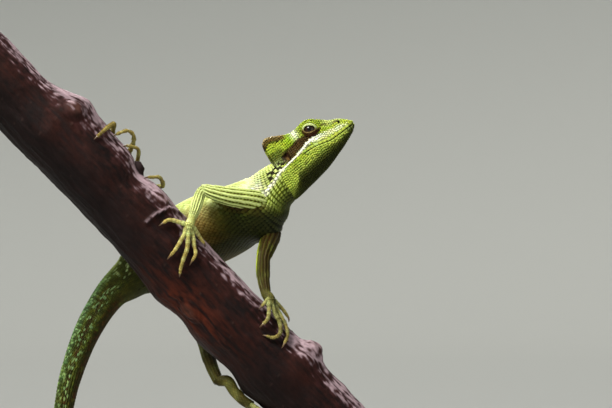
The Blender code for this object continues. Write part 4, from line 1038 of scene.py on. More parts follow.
def dressed_surface(place, turn):
    """The trunk's surface with the joints' swelling, along the direction away from the axis."""
    points = trunk_surface(place, turn)
    outwards = unit(points - smooth(STATIONS, CENTRES, place))
    return points + outwards * joint_fill(points.reshape(-1, 3)).reshape(points.shape[:-1])[..., None]


def back_wall(steps, front, rear):
    """Between the casque's rear edge and the nape: the straight mix, swollen backwards where they lie apart."""
    apart = step_up(np.linalg.norm(front - rear, axis=-1), 1.5, 4.0)
    bulge = 0.45 * np.sin(math.pi * steps[..., 0]) * apart
    return front * (1 - steps) + rear * steps - HEAD_FORWARD * bulge[..., None]


def body_rings():
    """Rings of the head, the casque's back wall and the trunk, with the colour of each point."""
    turn = np.arange(SKIN_SIDES) / SKIN_SIDES
    share = np.linspace(0, 1, HEAD_RINGS)[:, None]
    backs = HEAD_FRONT + (HEAD_BACK - HEAD_FRONT) * (0.3 * share**2 + 0.7 * share)
    places = place_at(join([np.arange(0, 130, 1.05), np.arange(130, AXIS_LENGTH[-1] - 0.4, 2.4)]))
    head = head_surface(backs, turn)
    relief = head_relief(head, turn) - SKIN_INSET * step_up(backs, 0.0, 1.2)
    shaped = head + grid_normals(head) * relief[..., None]
    tip = shaped[0].mean(0)
    nose = tip + (shaped[0] - tip) * 0.55 + HEAD_FORWARD * 0.1
    trunk = dressed_surface(places[:, None], turn)
    body = trunk - grid_normals(trunk) * SKIN_INSET
    wall = back_wall(np.linspace(0, 1, 9)[1:-1, None, None], shaped[-1], body[0])
    front = join([nose[None], shaped, wall])
    colours = head_tint(front.reshape(-1, 3))
    slit = bell((from_back(turn) * CORNERS / 2 - MOUTH_TURN) / 0.16)
    slit = slit * fall(backs, MOUTH_END - 1.0, MOUTH_END + 0.5)
    lips = slice(SKIN_SIDES, SKIN_SIDES + slit.size)
    colours[lips] = mix(colours[lips], DARK, 0.95 * np.clip(1.3 * slit.ravel(), 0, 1))
    rest = trunk_tint(body.reshape(-1, 3), np.repeat(places, SKIN_SIDES), np.tile(turn, len(places)))
    rings = join([front, body])
    return rings, join([colours * HEAD_BETWEEN, rest * BETWEEN]).reshape(rings.shape)


def tube_part(tube, sides, window, tint, inset=SKIN_INSET):
    share = np.linspace(0, 1, len(tube.spots))
    points = tube.at(share[:, None], np.arange(sides) / sides, -inset)
    colours = tint(points.reshape(-1, 3), np.repeat(share, sides)).reshape(points.shape)
    return grid_part(points, colours, window)


DIGIT_LIST = [(name, tube) for name, group in DIGITS.items() for tube in group]
rings, colours = body_rings()
skin_parts = [grid_part(rings, colours, (0.0, 1.0, 0.0, 0.62))]
for n, (name, tube) in enumerate(LIMBS.items()):
    window = (0.25 * n, 0.25 * n + 0.24, 0.63, 0.80)
    gaps = 0.65 if "arm" in name else 0.0
    tint = lambda p, s: mix(limb_tint(p, s, name) * BETWEEN, BROWN, gaps)
    skin_parts.append(tube_part(tube, LIMB_SIDES, window, tint))
for n, (name, tube) in enumerate(PALMS.items()):
    window = (0.25 * n, 0.25 * n + 0.24, 0.81, 0.88)
    skin_parts.append(tube_part(tube, PALM_SIDES, window, lambda p, s: limb_tint(p, s, name) * 0.6, 0.2))
for n, (name, tube) in enumerate(DIGIT_LIST):
    window = (0.05 * n, 0.05 * n + 0.045, 0.89, 1.0)
    skin_parts.append(tube_part(tube, DIGIT_SIDES, window, lambda p, s: digit_tint(p, s, name) * 0.7, DIGIT_INSET))
skin = fill_mesh("skin", skin_parts)

# %% [markdown]
# Lids stand out round each eye as a low dome with an almond opening. The dome is a ball's patch: from the
# opening's edge outwards the angle from the pole grows, and two shallow folds run round it. Inside the edge the
# patch turns back under itself, which gives the lid its thickness.

# %% Lids and eyes
LID_RADIUS = 4.05
LID_OPEN = (0.66, 0.34, 0.38)  # the opening's half length, height above and height below, in radians
LID_REACH = 1.32
PALE_LID = (0.50, 0.58, 0.25)
LID_EDGE = (0.30, 0.22, 0.08)
LOWER_FOLDS = (0.20, 0.42, 0.64)
LID_SIDES = 72
EYE_RINGS = 40
EYE_SIDES = 48


def lid_surface(way, share, turn):
    """Ball's patch: centre plus radius times the direction at an angle from the side axis. Share is 0 at the
    opening's edge and 1 at the lid's foot."""
    pointed = np.abs(np.cos(turn)) ** (1.3 + 0.8 * step_up(np.cos(turn), 0.0, 1.0))
    tall = LID_OPEN[2] + (LID_OPEN[1] - LID_OPEN[2]) * step_up(np.sin(turn), -0.3, 0.3)
    opening = np.hypot(LID_OPEN[0] * pointed, tall * np.sin(turn))
    angle = opening + (LID_REACH - opening) * np.clip(share, 0, 1) + 0.10 * np.clip(share, -1, 0)
    upper = step_up(np.sin(turn), -0.2, 0.4)
    folds = 0.10 * bump((share - 0.17) / 0.20) + 0.16 * bell((share - 0.56) / 0.10)
    folds = upper * (folds - 0.30 * bell((share - 0.41) / 0.05))
    for middle in LOWER_FOLDS:
        folds = folds - 0.11 * (1 - upper) * bell((share - middle) / 0.05)
    radius = LID_RADIUS + folds - 0.35 * step_up(share, 0.5, 1.0) + 2.2 * np.clip(share, -0.22, 0)
    tilt = math.radians(EYE_TILT)
    flat = spin(turn, spin(tilt, HEAD_FORWARD, -HEAD_UP), spin(tilt, HEAD_UP, HEAD_FORWARD))
    out = spin(angle, HEAD_LEFT * way, flat)
    return head_place(EYE_PLACE[0], way * EYE_PLACE[1], EYE_PLACE[2]) + radius[..., None] * out, out


def lid_tint(points, share, turn):
    """A pale upper lid under a dark fold, a narrow tan edge below, and brown with dark folds under the eye."""
    share, turn = (values.ravel() for values in np.broadcast_arrays(share, turn))
    upper = step_up(np.sin(turn), -0.25, 0.30)
    lower = 1 - upper
    return paint(
        head_tint(points.reshape(-1, 3)),
        (LIME, 0.5 * upper),
        (BROWN, 0.95 * lower * fall(share, 0.82, 1.0)),
        (PALE_LID, 0.9 * upper * fall(share, 0.31, 0.37)),
        (LID_EDGE, 0.85 * lower * bump((share - 0.08) / 0.10)),
        *((DARK, 0.8 * lower * bump((share - middle) / 0.07)) for middle in LOWER_FOLDS),
        (DARK, 0.95 * upper * bump((share - 0.41) / 0.10)),
        (LIME, 0.5 * upper * bump((share - 0.60) / 0.16)),
        (DARK, 0.9 * fall(share, -0.03, 0.045)),
    )


def lid_part(way, window):
    turn = np.linspace(0, TURN, LID_SIDES, endpoint=False)
    share = join([np.linspace(-0.22, 0, 5)[:-1], np.linspace(0, 1, 34)])[:, None]
    rings, out = lid_surface(way, share, turn)
    grain = value_noise(rings, 0.55, 31)
    rings = rings + out * (0.10 * (grain - 0.5) * step_up(share, 0.1, 0.3))[..., None]
    return grid_part(rings, lid_tint(rings, share, turn), window, caps=False)


def eye_ball(name, way):
    """A ball whose pole looks out to the side, with a slight swelling of the clear front."""
    polar = np.linspace(0.02, math.pi - 0.02, EYE_RINGS)[:, None]
    turn = np.linspace(0, TURN, EYE_SIDES, endpoint=False)
    radius = EYE_RADIUS * (1 + 0.035 * bell(polar / 0.45))[..., None]
    out = spin(polar, HEAD_LEFT * way, spin(turn, HEAD_FORWARD, HEAD_UP))
    rings = head_place(EYE_PLACE[0], way * EYE_PLACE[1], EYE_PLACE[2]) + radius * out
    across = np.degrees(polar)
    colours = paint(
        (0.014, 0.006, 0.004),
        ((0.050, 0.018, 0.007), 0.8 * value_noise(rings, 0.16, 33)),
        ((0.008, 0.004, 0.003), step_up(across, 28, 36)),
        ((0.003, 0.002, 0.002), fall(across, 17, 19)),
    )
    return fill_mesh(name, [grid_part(rings, colours, (0.0, 1.0, 0.0, 1.0))])


lids = fill_mesh("lids", [lid_part(-1, (0.0, 0.5, 0.0, 1.0)), lid_part(1, (0.5, 1.0, 0.0, 1.0))])
eye_right = eye_ball("eyeball_right", -1)
eye_left = eye_ball("eyeball_left", 1)

# %% [markdown]
# Scales are small closed plates in rows. On the body each is a lozenge with a raised keel and a point that lies
# over the next one, and on the head it is a low pad. All of a region's plates are one array: root, plus length
# along the body, width round it and height along the normal.

# %% Plates
KEELED = np.array((  # along, across, up
    (-0.52, 0.0, -0.10), (-0.34, -0.36, -0.20), (-0.34, 0.36, -0.20), (0.00, -0.54, -0.10),
    (0.00, 0.0, 0.60), (0.00, 0.54, -0.10), (0.34, -0.38, 0.15), (0.34, 0.0, 1.00), (0.34, 0.38, 0.15),
    (0.74, 0.0, 0.80),
))
KEELED_FACES = (
    np.array(((0, 1, 3, 4), (0, 4, 5, 2), (3, 6, 7, 4), (4, 7, 8, 5))),
    np.array(((6, 9, 7), (7, 9, 8), (0, 2, 5), (0, 5, 8), (0, 8, 9), (0, 9, 6), (0, 6, 3), (0, 3, 1))),
)
# Painted light on each keeled plate: its lower corners are darker, as painted shade, and its keel and point
# lighter, as painted highlight.
KEELED_PAINTED_LIGHT = np.array((0.55, 0.55, 0.55, 0.70, 1.10, 0.70, 0.85, 1.20, 0.85, 1.15))
KEELED_KEEL = np.array((0.0, 0.0, 0.0, 0.0, 1.0, 0.0, 0.15, 1.0, 0.15, 0.9))
SIX = np.arange(6)
NEXT = (SIX + 1) % 6
HEXAGON = stack(np.cos(SIX * TURN / 6), np.sin(SIX * TURN / 6), 0.0)
PAD = join([0.5 * HEXAGON - (0, 0, 0.35), 0.40 * HEXAGON + (0, 0, 0.72), [(0.0, 0.0, 1.0)]])
PAD_FACES = (
    stack(SIX, NEXT, NEXT + 6, SIX + 6),
    join([stack(SIX + 6, NEXT + 6, 12), ((0, 2, 1), (0, 3, 2), (0, 4, 3), (0, 5, 4))]),
)
SQUARE = np.array(((-1, -1, 0), (1, -1, 0), (1, 1, 0), (-1, 1, 0)))
SHIELD_FOOT = SQUARE * (0.51, 0.5, 1) - (0, 0, 0.4)
SHIELD = join([SHIELD_FOOT, SQUARE * (0.42, 0.34, 1) + (0, 0, 0.80), [(0.0, 0.0, 1.0)]])
SHIELD_FACES = (
    np.array(((0, 1, 5, 4), (1, 2, 6, 5), (2, 3, 7, 6), (3, 0, 4, 7), (3, 2, 1, 0))),
    np.array(((4, 5, 8), (5, 6, 8), (6, 7, 8), (7, 4, 8))),
)
# The brightness of each point is painted light: pads and shields are painted darker at the foot and lighter on
# top.
PLATES = {  # points, faces, brightness of each point, share of the pale keel's colour
    "keeled": (KEELED, KEELED_FACES, KEELED_PAINTED_LIGHT, KEELED_KEEL),
    "pad": (PAD, PAD_FACES, np.array([0.45] * 6 + [0.95] * 6 + [1.12]), 0.0),
    "shield": (SHIELD, SHIELD_FACES, np.array([0.60] * 4 + [0.95] * 4 + [1.05]), 0.0),
}
PATCH = 0.003


def plate_part(kind, roots, along, normal, size, colours, flat, tilt=0.0, keel=0.0, crest=CREAM, corners=1.0):
    """All plates of one region: each model point times length, width and height, along the three directions
    at its root. tilt lifts the plate's rear, keel is the share of the crest's colour on the keel, and corners
    moves each point of a plate out or in."""
    model, faces, light, ridge = PLATES[kind]
    normal = unit(normal)
    along = unit(along - normal * np.einsum("ij,ij->i", along, normal)[:, None])
    length, width, height = (size[:, k, None, None] for k in range(3))
    outline = model[:, :2] * np.asarray(corners)[..., None]
    points = (
        roots[:, None]
        + outline[..., :1] * length * along[:, None]
        + outline[..., 1:] * width * np.cross(normal, along)[:, None]
        + (model[:, 2:] * height + tilt * model[:, :1] * length) * normal[:, None]
    )
    pale = keel * ridge * step_up(colours.mean(axis=1), 0.03, 0.15)[:, None]
    tint = mix(colours[:, None], np.reshape(crest, (-1, 1, 3)), pale) * light[:, None]
    shift = np.arange(len(roots))[:, None, None] * len(model)
    patch = flat[:, None] + model[:, :2] * PATCH
    sets = [(face + shift).reshape(-1, face.shape[1]) for face in faces]
    maps = [patch[:, face].reshape(-1, face.shape[1], 2) for face in faces]
    return points.reshape(-1, 3), sets, maps, tint.reshape(-1, 3)


def tree_of(part):
    """A search tree over all the part's faces, caps too."""
    points, faces, _, _ = part
    return BVHTree.FromPolygons(points.tolist(), [face for group in faces for face in group.tolist()])


TREES = {name: tree_of(part) for name, part in zip(("body", *LIMBS, *PALMS), skin_parts)}


def hidden(points, names, depth=0.35):
    """True for a place that lies deeper than this under the skin of one of the named parts: the nearest place
    on it is found, and the way there runs along its outward normal."""
    inside = np.zeros(len(points), bool)
    for name in names:
        tree = TREES[name]
        for k, spot in enumerate(points):
            near, normal, _, far = tree.find_nearest(Vector(spot), 12.0)
            if near is not None and far > depth and (Vector(spot) - near).dot(normal) < 0:
                inside[k] = True
    return inside


def surface_normal(surface, first, turn, step):
    """Cross product of the surface's small steps along and round, turned outwards from the axis."""
    ahead = surface(first + step, turn) - surface(first - step, turn)
    around = surface(first, turn + 0.002) - surface(first, turn - 0.002)
    normal = unit(np.cross(ahead, around))
    outwards = surface(first, turn) - surface(first, turn + 0.5)
    return normal * np.sign(np.einsum("ij,ij->i", normal, outwards))[:, None], unit(ahead)


def brick_rows(marks, counts, rng, spread, stagger):
    """Rows of turns: each row's count of even steps, every second row moved by a share of a step, and a little
    seeded disorder."""
    turns = []
    for k, count in enumerate(counts):
        steps = np.arange(count) + stagger * (k % 2) + rng.uniform(-spread, spread, count)
        turns.append(steps / count % 1.0)
    return np.repeat(marks, counts), join(turns), np.repeat(counts, counts)


def uneven(rng, colours, amount=0.10):
    """Each plate a little lighter or darker, and a little yellower or greener."""
    light = 1 + rng.normal(0, amount, (len(colours), 1))
    warm = 1 + rng.normal(0, 0.05, (len(colours), 1)) * np.array((1.0, 0.0, -1.0))
    return colours * np.clip(light, 0.6, 1.4) * warm


# %% [markdown]
# On the trunk the number of scales in a row stays the same over long stretches, so the rows run as slanting
# lines down the flanks, and they get wider where the body does. Towards the tail's tip the rows have fewer.

# %% Scales of the trunk and tail
TRUNK_ROW = 1.12
NECK_ROW = 1.30
STRIPE_START = 18.0
STRIPE_END = 47.0
STRIPE_ROOM = 0.55
ROW_LIMITS = (20, 30, 112, 120, 130, 150, 200, 270, 340)  # from the nape, and the scales in a row up to each
ROW_COUNTS = np.array((50, 54, 60, 46, 34, 26, 22, 18, 14, 10))


def row_step(lengths):
    """The distance from row to row: wide on the neck, close on the back, and wider down the tail."""
    neck = NECK_ROW + (TRUNK_ROW - NECK_ROW) * step_up(lengths, 16.0, 34.0)
    return neck * (1 + 0.35 * step_up(lengths, 110, 150))


def trunk_scales(start, end, seed):
    """Keeled scales in rows from one distance from the nape to another, but none on the white line."""
    rng = np.random.default_rng(seed)
    marks = [start]
    while marks[-1] < end:
        marks.append(marks[-1] + float(row_step(marks[-1])))
    marks = np.array(marks[:-1])
    counts = ROW_COUNTS[np.searchsorted(ROW_LIMITS, marks, side="right")]
    lengths, turn, numbers = brick_rows(marks, counts, rng, 0.10, 0.5 if start < 110 else 0.0)
    place = place_at(lengths)
    points = dressed_surface(place, turn)
    normal, along = surface_normal(dressed_surface, place, turn, 0.02)
    ventral = step_up(from_back(turn), 0.62, 0.8)
    width = length_of(points - smooth(STATIONS, CENTRES, place)) * TURN / numbers * 1.12
    long = row_step(lengths) * (1.28 + 0.22 * step_up(lengths, 16.0, 34.0))
    high = np.minimum(0.32 + 0.22 * step_up(lengths, 105, 140), width * 0.34) * (1 - 0.45 * ventral)
    roots = points - normal * (SKIN_INSET - 0.06)
    colours = uneven(rng, trunk_tint(points, place, turn))
    flat = stack(turn, (lengths - start) / (end - start))
    back, _, _, seen = marking_numbers(points)
    line = (np.abs(seen - line_at(back, WHITE_LINE)) < 0.7 * STRIPE_ROOM) & (back < STRIPE_END - 2.0)
    keep = ~hidden(points, LIMBS) & ~(line & (place < 3))
    keel = 0.45 * (1 - 0.7 * ventral) * (1 - 0.35 * step_up(place, 13.0, 16.0))
    crest = paint(
        CREAM,
        ((0.065, 0.17, 0.075), step_up(place, 8.0, 10.5)),
        ((0.11, 0.16, 0.035), step_up(place, 12.5, 16.0)),
    )
    parts = (roots, along, normal, stack(long, width, high), colours, flat)
    return plate_part("keeled", *(values[keep] for values in parts), 0.1, keel[keep, None], crest[keep])


coat = []
for name, start, end in (
    ("scales_neck", 0.3, 40.0),
    ("scales_back", 40.0, 80.0),
    ("scales_hips", 80.0, 130.0),
    ("scales_tail", 130.0, AXIS_LENGTH[-1] - 2.0),
):
    coat.append(fill_mesh(name, [trunk_scales(start, end, int(start) + 5)], flat=True))

# %% [markdown]
# Scales on a limb sit in straight rows, keel behind keel, which is why arm and leg look streaked. Down a digit
# they are short overlapping keeled scales, eight round it.

# %% Scales of the limbs and digits
def limb_scales(
    tube, rows, step, seed, tint, inside, inset, start, high, stagger, tilt, keel, reach, cover=1.16
):
    """Keeled scales in rows down a tube. Each is reach times the step long, and cover times its part of the
    girth wide."""
    rng = np.random.default_rng(seed)
    marks = np.arange(start * tube.length, tube.length, step) / tube.length
    share, turn, _ = brick_rows(marks, np.full(len(marks), rows), rng, 0.05, stagger)
    points = tube.at(share, turn, -inset * 0.75)
    seen = ~hidden(points, inside)
    share, turn, points = share[seen], turn[seen], points[seen]
    i = (share * (len(tube.spots) - 1)).astype(int)
    outwards = points - tube.spots[i]
    width = TURN * length_of(outwards) / rows * cover
    long = step * reach * (1 - 0.35 * step_up(share, 0.75, 1.0))
    size = stack(long, width, np.minimum(high, width * 0.30))
    colours = uneven(rng, tint(points, share), 0.08)
    return plate_part("keeled", points, tube.ways[i], outwards, size, colours, stack(turn, share), tilt, keel)


for name, members in (("scales_arms", ("arm_right", "arm_left")), ("scales_legs", ("leg_right", "leg_left"))):
    parts = []
    for n, member in enumerate(members):
        tint = lambda p, s: limb_tint(p, s, member)
        pale = 0.85 * max(0.0, 1 - 1.1 * LIMB_SHADING_SHARE.get(member, 0.0))
        numbers = (SKIN_INSET, 0.02, 0.34, 0.0, 0.05, pale, 2.2, 0.86 if "arm" in member else 1.16)
        parts.append(limb_scales(LIMBS[member], 12, 1.3, 50 + n, tint, ["body"], *numbers))
    coat.append(fill_mesh(name, parts, flat=True))
parts = []
for n, (member, palm) in enumerate(PALMS.items()):
    tint = lambda p, s: limb_tint(p, s, member)
    numbers = (0.2, 0.18, 0.14, 0.5, 0.0, 0.4 * (1 - LIMB_SHADING_SHARE.get(member, 0.0)), 1.5)
    parts.append(limb_scales(palm, 12, 0.9, 60 + n, tint, ["body", *LIMBS], *numbers))
for n, (member, tube) in enumerate(DIGIT_LIST):
    tint = lambda p, s: digit_tint(p, s, member)
    numbers = (DIGIT_INSET, 0.04, 0.12, 0.5, 0.03, 0.2, 1.6)
    parts.append(limb_scales(tube, 8, 0.8, 70 + n, tint, list(PALMS), *numbers))
coat.append(fill_mesh("scales_digits", parts, flat=True))

# %% [markdown]
# The head wears small pads that don't overlap. A row of larger shields runs along each lip, and the throat has
# keeled scales that point back.

# %% Scales of the head
PAD_ROW = 0.92
PAD_WIDTH = 1.0
HEAD_STEPS = 960
WALL_COLUMNS = 72


def head_lengths(back):
    """Turns at fine steps round the head at this distance back, and the length of the way round to each."""
    fine = np.arange(HEAD_STEPS + 1) / HEAD_STEPS
    line = smooth(HEAD_LINES[:, 0], HEAD_LINES[:, 1:], np.array([back]))
    section = section_point(np.tile(line, (HEAD_STEPS + 1, 1)), fine)
    return fine, join([[0], np.cumsum(length_of(np.diff(section, axis=0)))])


def from_mouth(back, offset, way):
    """The turn that lies this far above the mouth's line, or below it for less than 0, on one side."""
    turns = []
    for one in back:
        fine, lengths = head_lengths(one)
        turns.append(np.interp(np.interp(MOUTH_TURN / CORNERS, fine, lengths) - offset, lengths, fine))
    return np.array(turns) if way > 0 else 1 - np.array(turns)


def on_head(back, turn, sink=0.28):
    """Roots, directions and normals on the head's skin."""
    points = head_surface(back, turn)
    normal, along = surface_normal(head_surface, back, turn, 0.05)
    return points + normal * (head_relief(points, turn) - sink)[:, None], along, normal


def head_pads(seed):
    """Pads in rows round the head, each turned and shaped a little at random, and keeled scales on the throat.
    The eye, ear, nostril, lips and white line are left free."""
    rng = np.random.default_rng(seed)
    rows = []
    for k, mark in enumerate(np.arange(0.6, 38.2, PAD_ROW)):
        fine, lengths = head_lengths(mark)
        count = max(8, round(lengths[-1] / PAD_WIDTH))
        wanted = (np.arange(count) + 0.5 * (k % 2) + rng.uniform(-0.10, 0.10, count)) / count * lengths[-1]
        wanted = wanted % lengths[-1]
        below = np.minimum(wanted, lengths[-1] - wanted) - np.interp(MOUTH_TURN / CORNERS, fine, lengths)
        rows.append((mark + rng.uniform(-0.08, 0.08, count), np.interp(wanted, lengths, fine), below))
    back, turn, below = (join(values) for values in zip(*rows))
    points = head_surface(back, turn)
    roots, along, normal = on_head(back, turn)
    behind, side, height, seen = marking_numbers(points)
    line = (np.abs(seen - line_at(back, WHITE_LINE)) < STRIPE_ROOM) & (back > STRIPE_START)
    lips = (below > -1.55) & (below < 1.35) & (back < MOUTH_END)
    hole = (from_spot(behind, height, EYE_PLACE) < 3.8) | (ear_inset(behind, height) > -0.25)
    hole = hole | (from_spot(behind, height, NOSTRIL_PLACE) < 0.95)
    keep = ~lips & ~line & ~(hole & (side > 1.5))
    throat = keep & (from_back(turn) * CORNERS / 2 > 4.9)
    pads = keep & ~throat
    colours = uneven(rng, head_tint(points), 0.10)
    wide = 1.17 * np.where(back > 24, 1.12, 1.0) * rng.uniform(0.88, 1.12, len(back))
    turned = spin(rng.uniform(-0.5, 0.5, len(back)), along, np.cross(normal, along))
    size = stack(wide, wide, 0.21 + 0.08 * rng.random(len(back)))
    flat = stack(turn, back / 40.0)
    foot = np.clip(rng.normal(1.0, 0.11, (pads.sum(), 6)), 0.75, 1.2)
    corners = np.insert(np.tile(foot, 2), 12, 1.0, axis=1)
    values = (value[pads] for value in (roots, turned, normal, size, colours, flat))
    parts = [plate_part("pad", *values, corners=corners)]
    grow = 1 + 0.25 * step_up(back, 22, 37)
    size = stack(1.5 * grow, 1.08 * grow, 0.28 * grow)
    values = (value[throat] for value in (roots, along, normal, size, colours, flat))
    return [*parts, plate_part("keeled", *values, 0.08, 0.12)]


def lip_shields(seed):
    """One row of shields over the mouth's line and one under it, on each side, and one plate on the tip."""
    rng = np.random.default_rng(seed)
    parts = []
    for offset, step, high in ((0.80, 1.9, 1.2), (-0.70, 1.7, 1.0)):
        back = np.arange(1.3, MOUTH_END - 0.6, step)
        size = stack(step, high * (0.75 + 0.25 * step_up(back, 1.0, 4.0)), 0.16)
        for way in (1, -1):
            turn = from_mouth(back, offset, way)
            roots, along, normal = on_head(back, turn)
            colours = uneven(rng, mix(head_tint(head_surface(back, turn)), CREAM, 0.12), 0.05)
            parts.append(plate_part("shield", roots, along, normal, size, colours, stack(turn, back / 40.0)))
    tips = head_place(np.array([0.25, 0.30]), np.zeros(2), np.array([0.35, -1.0]))
    ways = np.tile(HEAD_LEFT, (2, 1))
    size = np.array([(1.5, 0.95, 0.35), (1.4, 0.75, 0.30)])
    normal = np.tile(HEAD_FORWARD, (2, 1))
    flat = np.full((2, 2), 0.5)
    parts.append(plate_part("shield", tips, ways, normal, size, solid_colour(2, LIME), flat))
    return parts


def line_turns(surface, first, way):
    """The turn where the white line passes at each place: the one whose height as seen is nearest to it."""
    fine = np.linspace(0.10, 0.40, 601)
    points = surface(first[:, None], (fine if way > 0 else 1 - fine)[None, :])
    back, _, _, seen = marking_numbers(points.reshape(-1, 3))
    off = np.abs(seen - line_at(back, WHITE_LINE)).reshape(points.shape[:2])
    turn = fine[off.argmin(axis=1)]
    return turn if way > 0 else 1 - turn


def stripe_scales(seed):
    """One row of long white scales down the white line, over the head and then over the neck, on both sides."""
    rng = np.random.default_rng(seed)
    parts = []
    for way in (1, -1):
        first = np.arange(STRIPE_START + 0.4, HEAD_BACK - 0.2, 1.15)
        roots, _, normal = on_head(first, line_turns(head_surface, first, way), 0.20)
        place = place_at(np.arange(0.5, 18.0, 1.15))
        turn = line_turns(dressed_surface, place, way)
        more = surface_normal(dressed_surface, place, turn, 0.02)[0]
        spots = join([roots, dressed_surface(place, turn) - more * 0.2])
        run = np.arange(len(spots)) / len(spots)
        wide = 1.35 - 0.35 * step_up(run, 0.0, 0.25) + 0.35 * step_up(run, 0.60, 0.85)
        colours = uneven(rng, solid_colour(len(spots), WHITE), 0.04)
        flat = stack(0.5 - 0.2 * way, np.linspace(0.4, 0.99, len(spots)))
        along = unit(np.gradient(spots, axis=0))
        keep = marking_numbers(spots)[0] < STRIPE_END
        values = (spots, along, join([normal, more]), stack(1.22, wide, 0.30), colours, flat)
        parts.append(plate_part("shield", *(value[keep] for value in values), 0.04))
    return parts


def casque_back(seed):
    """Pads on the wall between the casque's edge and the nape, in rows a pad's width apart."""
    rng = np.random.default_rng(seed)
    turn = np.arange(WALL_COLUMNS) / WALL_COLUMNS
    front = head_surface(HEAD_BACK, turn)
    rear = trunk_surface(0.0, turn)
    rows = np.floor(length_of(front - rear) / 0.95).astype(int)
    which = np.repeat(np.arange(WALL_COLUMNS), rows)
    first = join([[0], np.cumsum(rows)[:-1]])
    number = np.arange(rows.sum()) - first[which]
    steps = ((number + 0.5 + 0.25 * (which % 2)) / rows[which])[:, None]
    roots = back_wall(steps, front[which], rear[which]) + HEAD_FORWARD * 0.28
    along = rear[which] - front[which]
    normal = np.tile(-HEAD_FORWARD, (len(roots), 1))
    wide = rng.uniform(0.85, 1.0, len(roots))
    flat = stack(turn[which], 0.96 + 0.03 * steps[:, 0])
    colours = uneven(rng, head_tint(roots))
    return plate_part("pad", roots, along, normal, stack(wide, wide, 0.28), colours, flat)


def lid_grains(seed):
    """Rings of grains on the lids, as many in each as fit round it."""
    rng = np.random.default_rng(seed)
    parts = []
    for way in (1, -1):
        shares, turns = [], []
        for k, share in enumerate((0.12, 0.20, 0.28, 0.50, 0.60, 0.70, 0.80, 0.90)):
            count = int(TURN * LID_RADIUS * math.sin(0.50 + 0.82 * share) / 0.50)
            turns.append((np.arange(count) + 0.5 * (k % 2)) / count * TURN)
            shares.append(share + rng.uniform(-0.012, 0.012, count))
        share, turn = join(shares), join(turns)
        points, out = lid_surface(way, share, turn)
        grow = step_up(share, 0.3, 0.5)
        size = stack(0.42 + 0.12 * grow, 0.42 + 0.12 * grow, 0.10 + 0.06 * grow)
        colours = uneven(rng, lid_tint(points, share, turn), 0.08)
        flat = stack(turn / TURN, share)
        parts.append(plate_part("pad", points - out * 0.02, np.cross(out, HEAD_UP), out, size, colours, flat))
    return parts


coat.append(fill_mesh("scales_head", [*head_pads(81), *lip_shields(82), *stripe_scales(85), casque_back(83)]))
coat.append(fill_mesh("scales_lids", lid_grains(84)))

# %% [markdown]
# Each digit ends in a curved claw. It is a tapering tube that leaves the digit's tip in the digit's direction and
# bends down to the bark. All twenty are one piece of horn.

# %% Claws
CLAW_RINGS = 16
CLAW_SIDES = 12


def claw_part(tube, window):
    """Start plus length along the digit's way, plus the square of the share towards the branch's axis. The
    radius falls with the square root of what is left."""
    share = np.linspace(0, 1, CLAW_RINGS)[:, None]
    way = tube.ways[-1]
    start = tube.spots[-1] - way * 0.5
    axis = BRANCH_ORIGIN + BRANCH_WAY * float((start - BRANCH_ORIGIN) @ BRANCH_WAY)
    inwards = unit(axis - start)
    inwards = unit(inwards - way * float(inwards @ way))
    length = CLAW_LENGTH + 0.5
    path = start + way * length * (share - 0.14 * share**2)
    path = path + inwards * length * (0.42 * share**2 - 0.10 * share)
    radii = 0.50 * np.sqrt(1 - 0.985 * share**1.3)
    side = unit(np.cross(way, inwards))
    other = np.cross(unit(np.gradient(path, axis=0)), side)[:, None]
    turn = np.linspace(0, TURN, CLAW_SIDES, endpoint=False)
    rings = path[:, None] + radii[:, None] * spin(turn, 0.8 * side, other)
    colours = mix((0.20, 0.12, 0.045), (0.035, 0.018, 0.009), share + 0 * turn)
    return grid_part(rings, colours, window)


claw_parts = []
for n, (_, tube) in enumerate(DIGIT_LIST):
    claw_parts.append(claw_part(tube, (0.05 * n, 0.05 * n + 0.045, 0.0, 1.0)))
claws = fill_mesh("claws", claw_parts)

# %% [markdown]
# The branch is a grid of distance along and angle round, over the same outline as the solid. Its relief adds long
# ridges, domes with folded collars for the knots, small lens-shaped pores, and fine grain. The ends are sawn, so
# the grid goes on to the middle there, with the year rings in its colours.


# %% Bark
KNOTS = (  # distance along, angle in degrees, radius, height for the radius
    (31.5, 52.0, 4.2, 0.4), (67.4, 92.0, 2.4, 1.5), (172.4, 82.0, 4.8, 0.5), (84.0, 62.0, 3.6, 0.4),
    (125.0, -36.0, 4.6, 0.4), (40.0, -150.0, 5.0, 0.5), (150.0, 160.0, 5.0, 0.5),
)
BARK_RINGS = 350
BARK_SIDES = 240
PORES = 150
BARK_DARK = (0.004, 0.002, 0.002)
BARK_RED = (0.024, 0.006, 0.004)
BARK_HIGHLIGHT = (0.34, 0.245, 0.275)
FOLDS = (  # ridges over the bark: distance along and angle in degrees, height, half width
    (((86.7, 15), (87.0, 35), (88.6, 58), (92.0, 74), (98.0, 84)), 1.0, 1.5),
    (((112.0, -60), (118.0, -30), (130.0, -14), (142.0, -20)), 0.4, 2.4),
    (((150.0, 8), (160.0, 22), (172.0, 44), (180.0, 70)), 0.5, 2.4),
)
WOOD = (0.46, 0.30, 0.17)
BARK_RADIUS = 14.8
ARC = 15.0  # mm round the bark for each radian


def around(angle, middle):
    """The signed difference of two angles, from minus to plus half a turn."""
    return (angle - middle + math.pi) % TURN - math.pi


def fold_share(along, angle, line, wide):
    """1 on a line over the bark, falling to 0 at this distance from it: the nearest of its short pieces."""
    line = np.array(line, float)
    steps = np.linspace(0, len(line) - 1, 40)
    places = smooth(np.arange(len(line)), line, steps)
    nearest = np.full(along.shape, 1e9)
    for place, degrees in places:
        arc = around(angle, math.radians(degrees)) * ARC
        nearest = np.minimum(nearest, np.hypot(along - place, arc))
    return bump(nearest / wide)


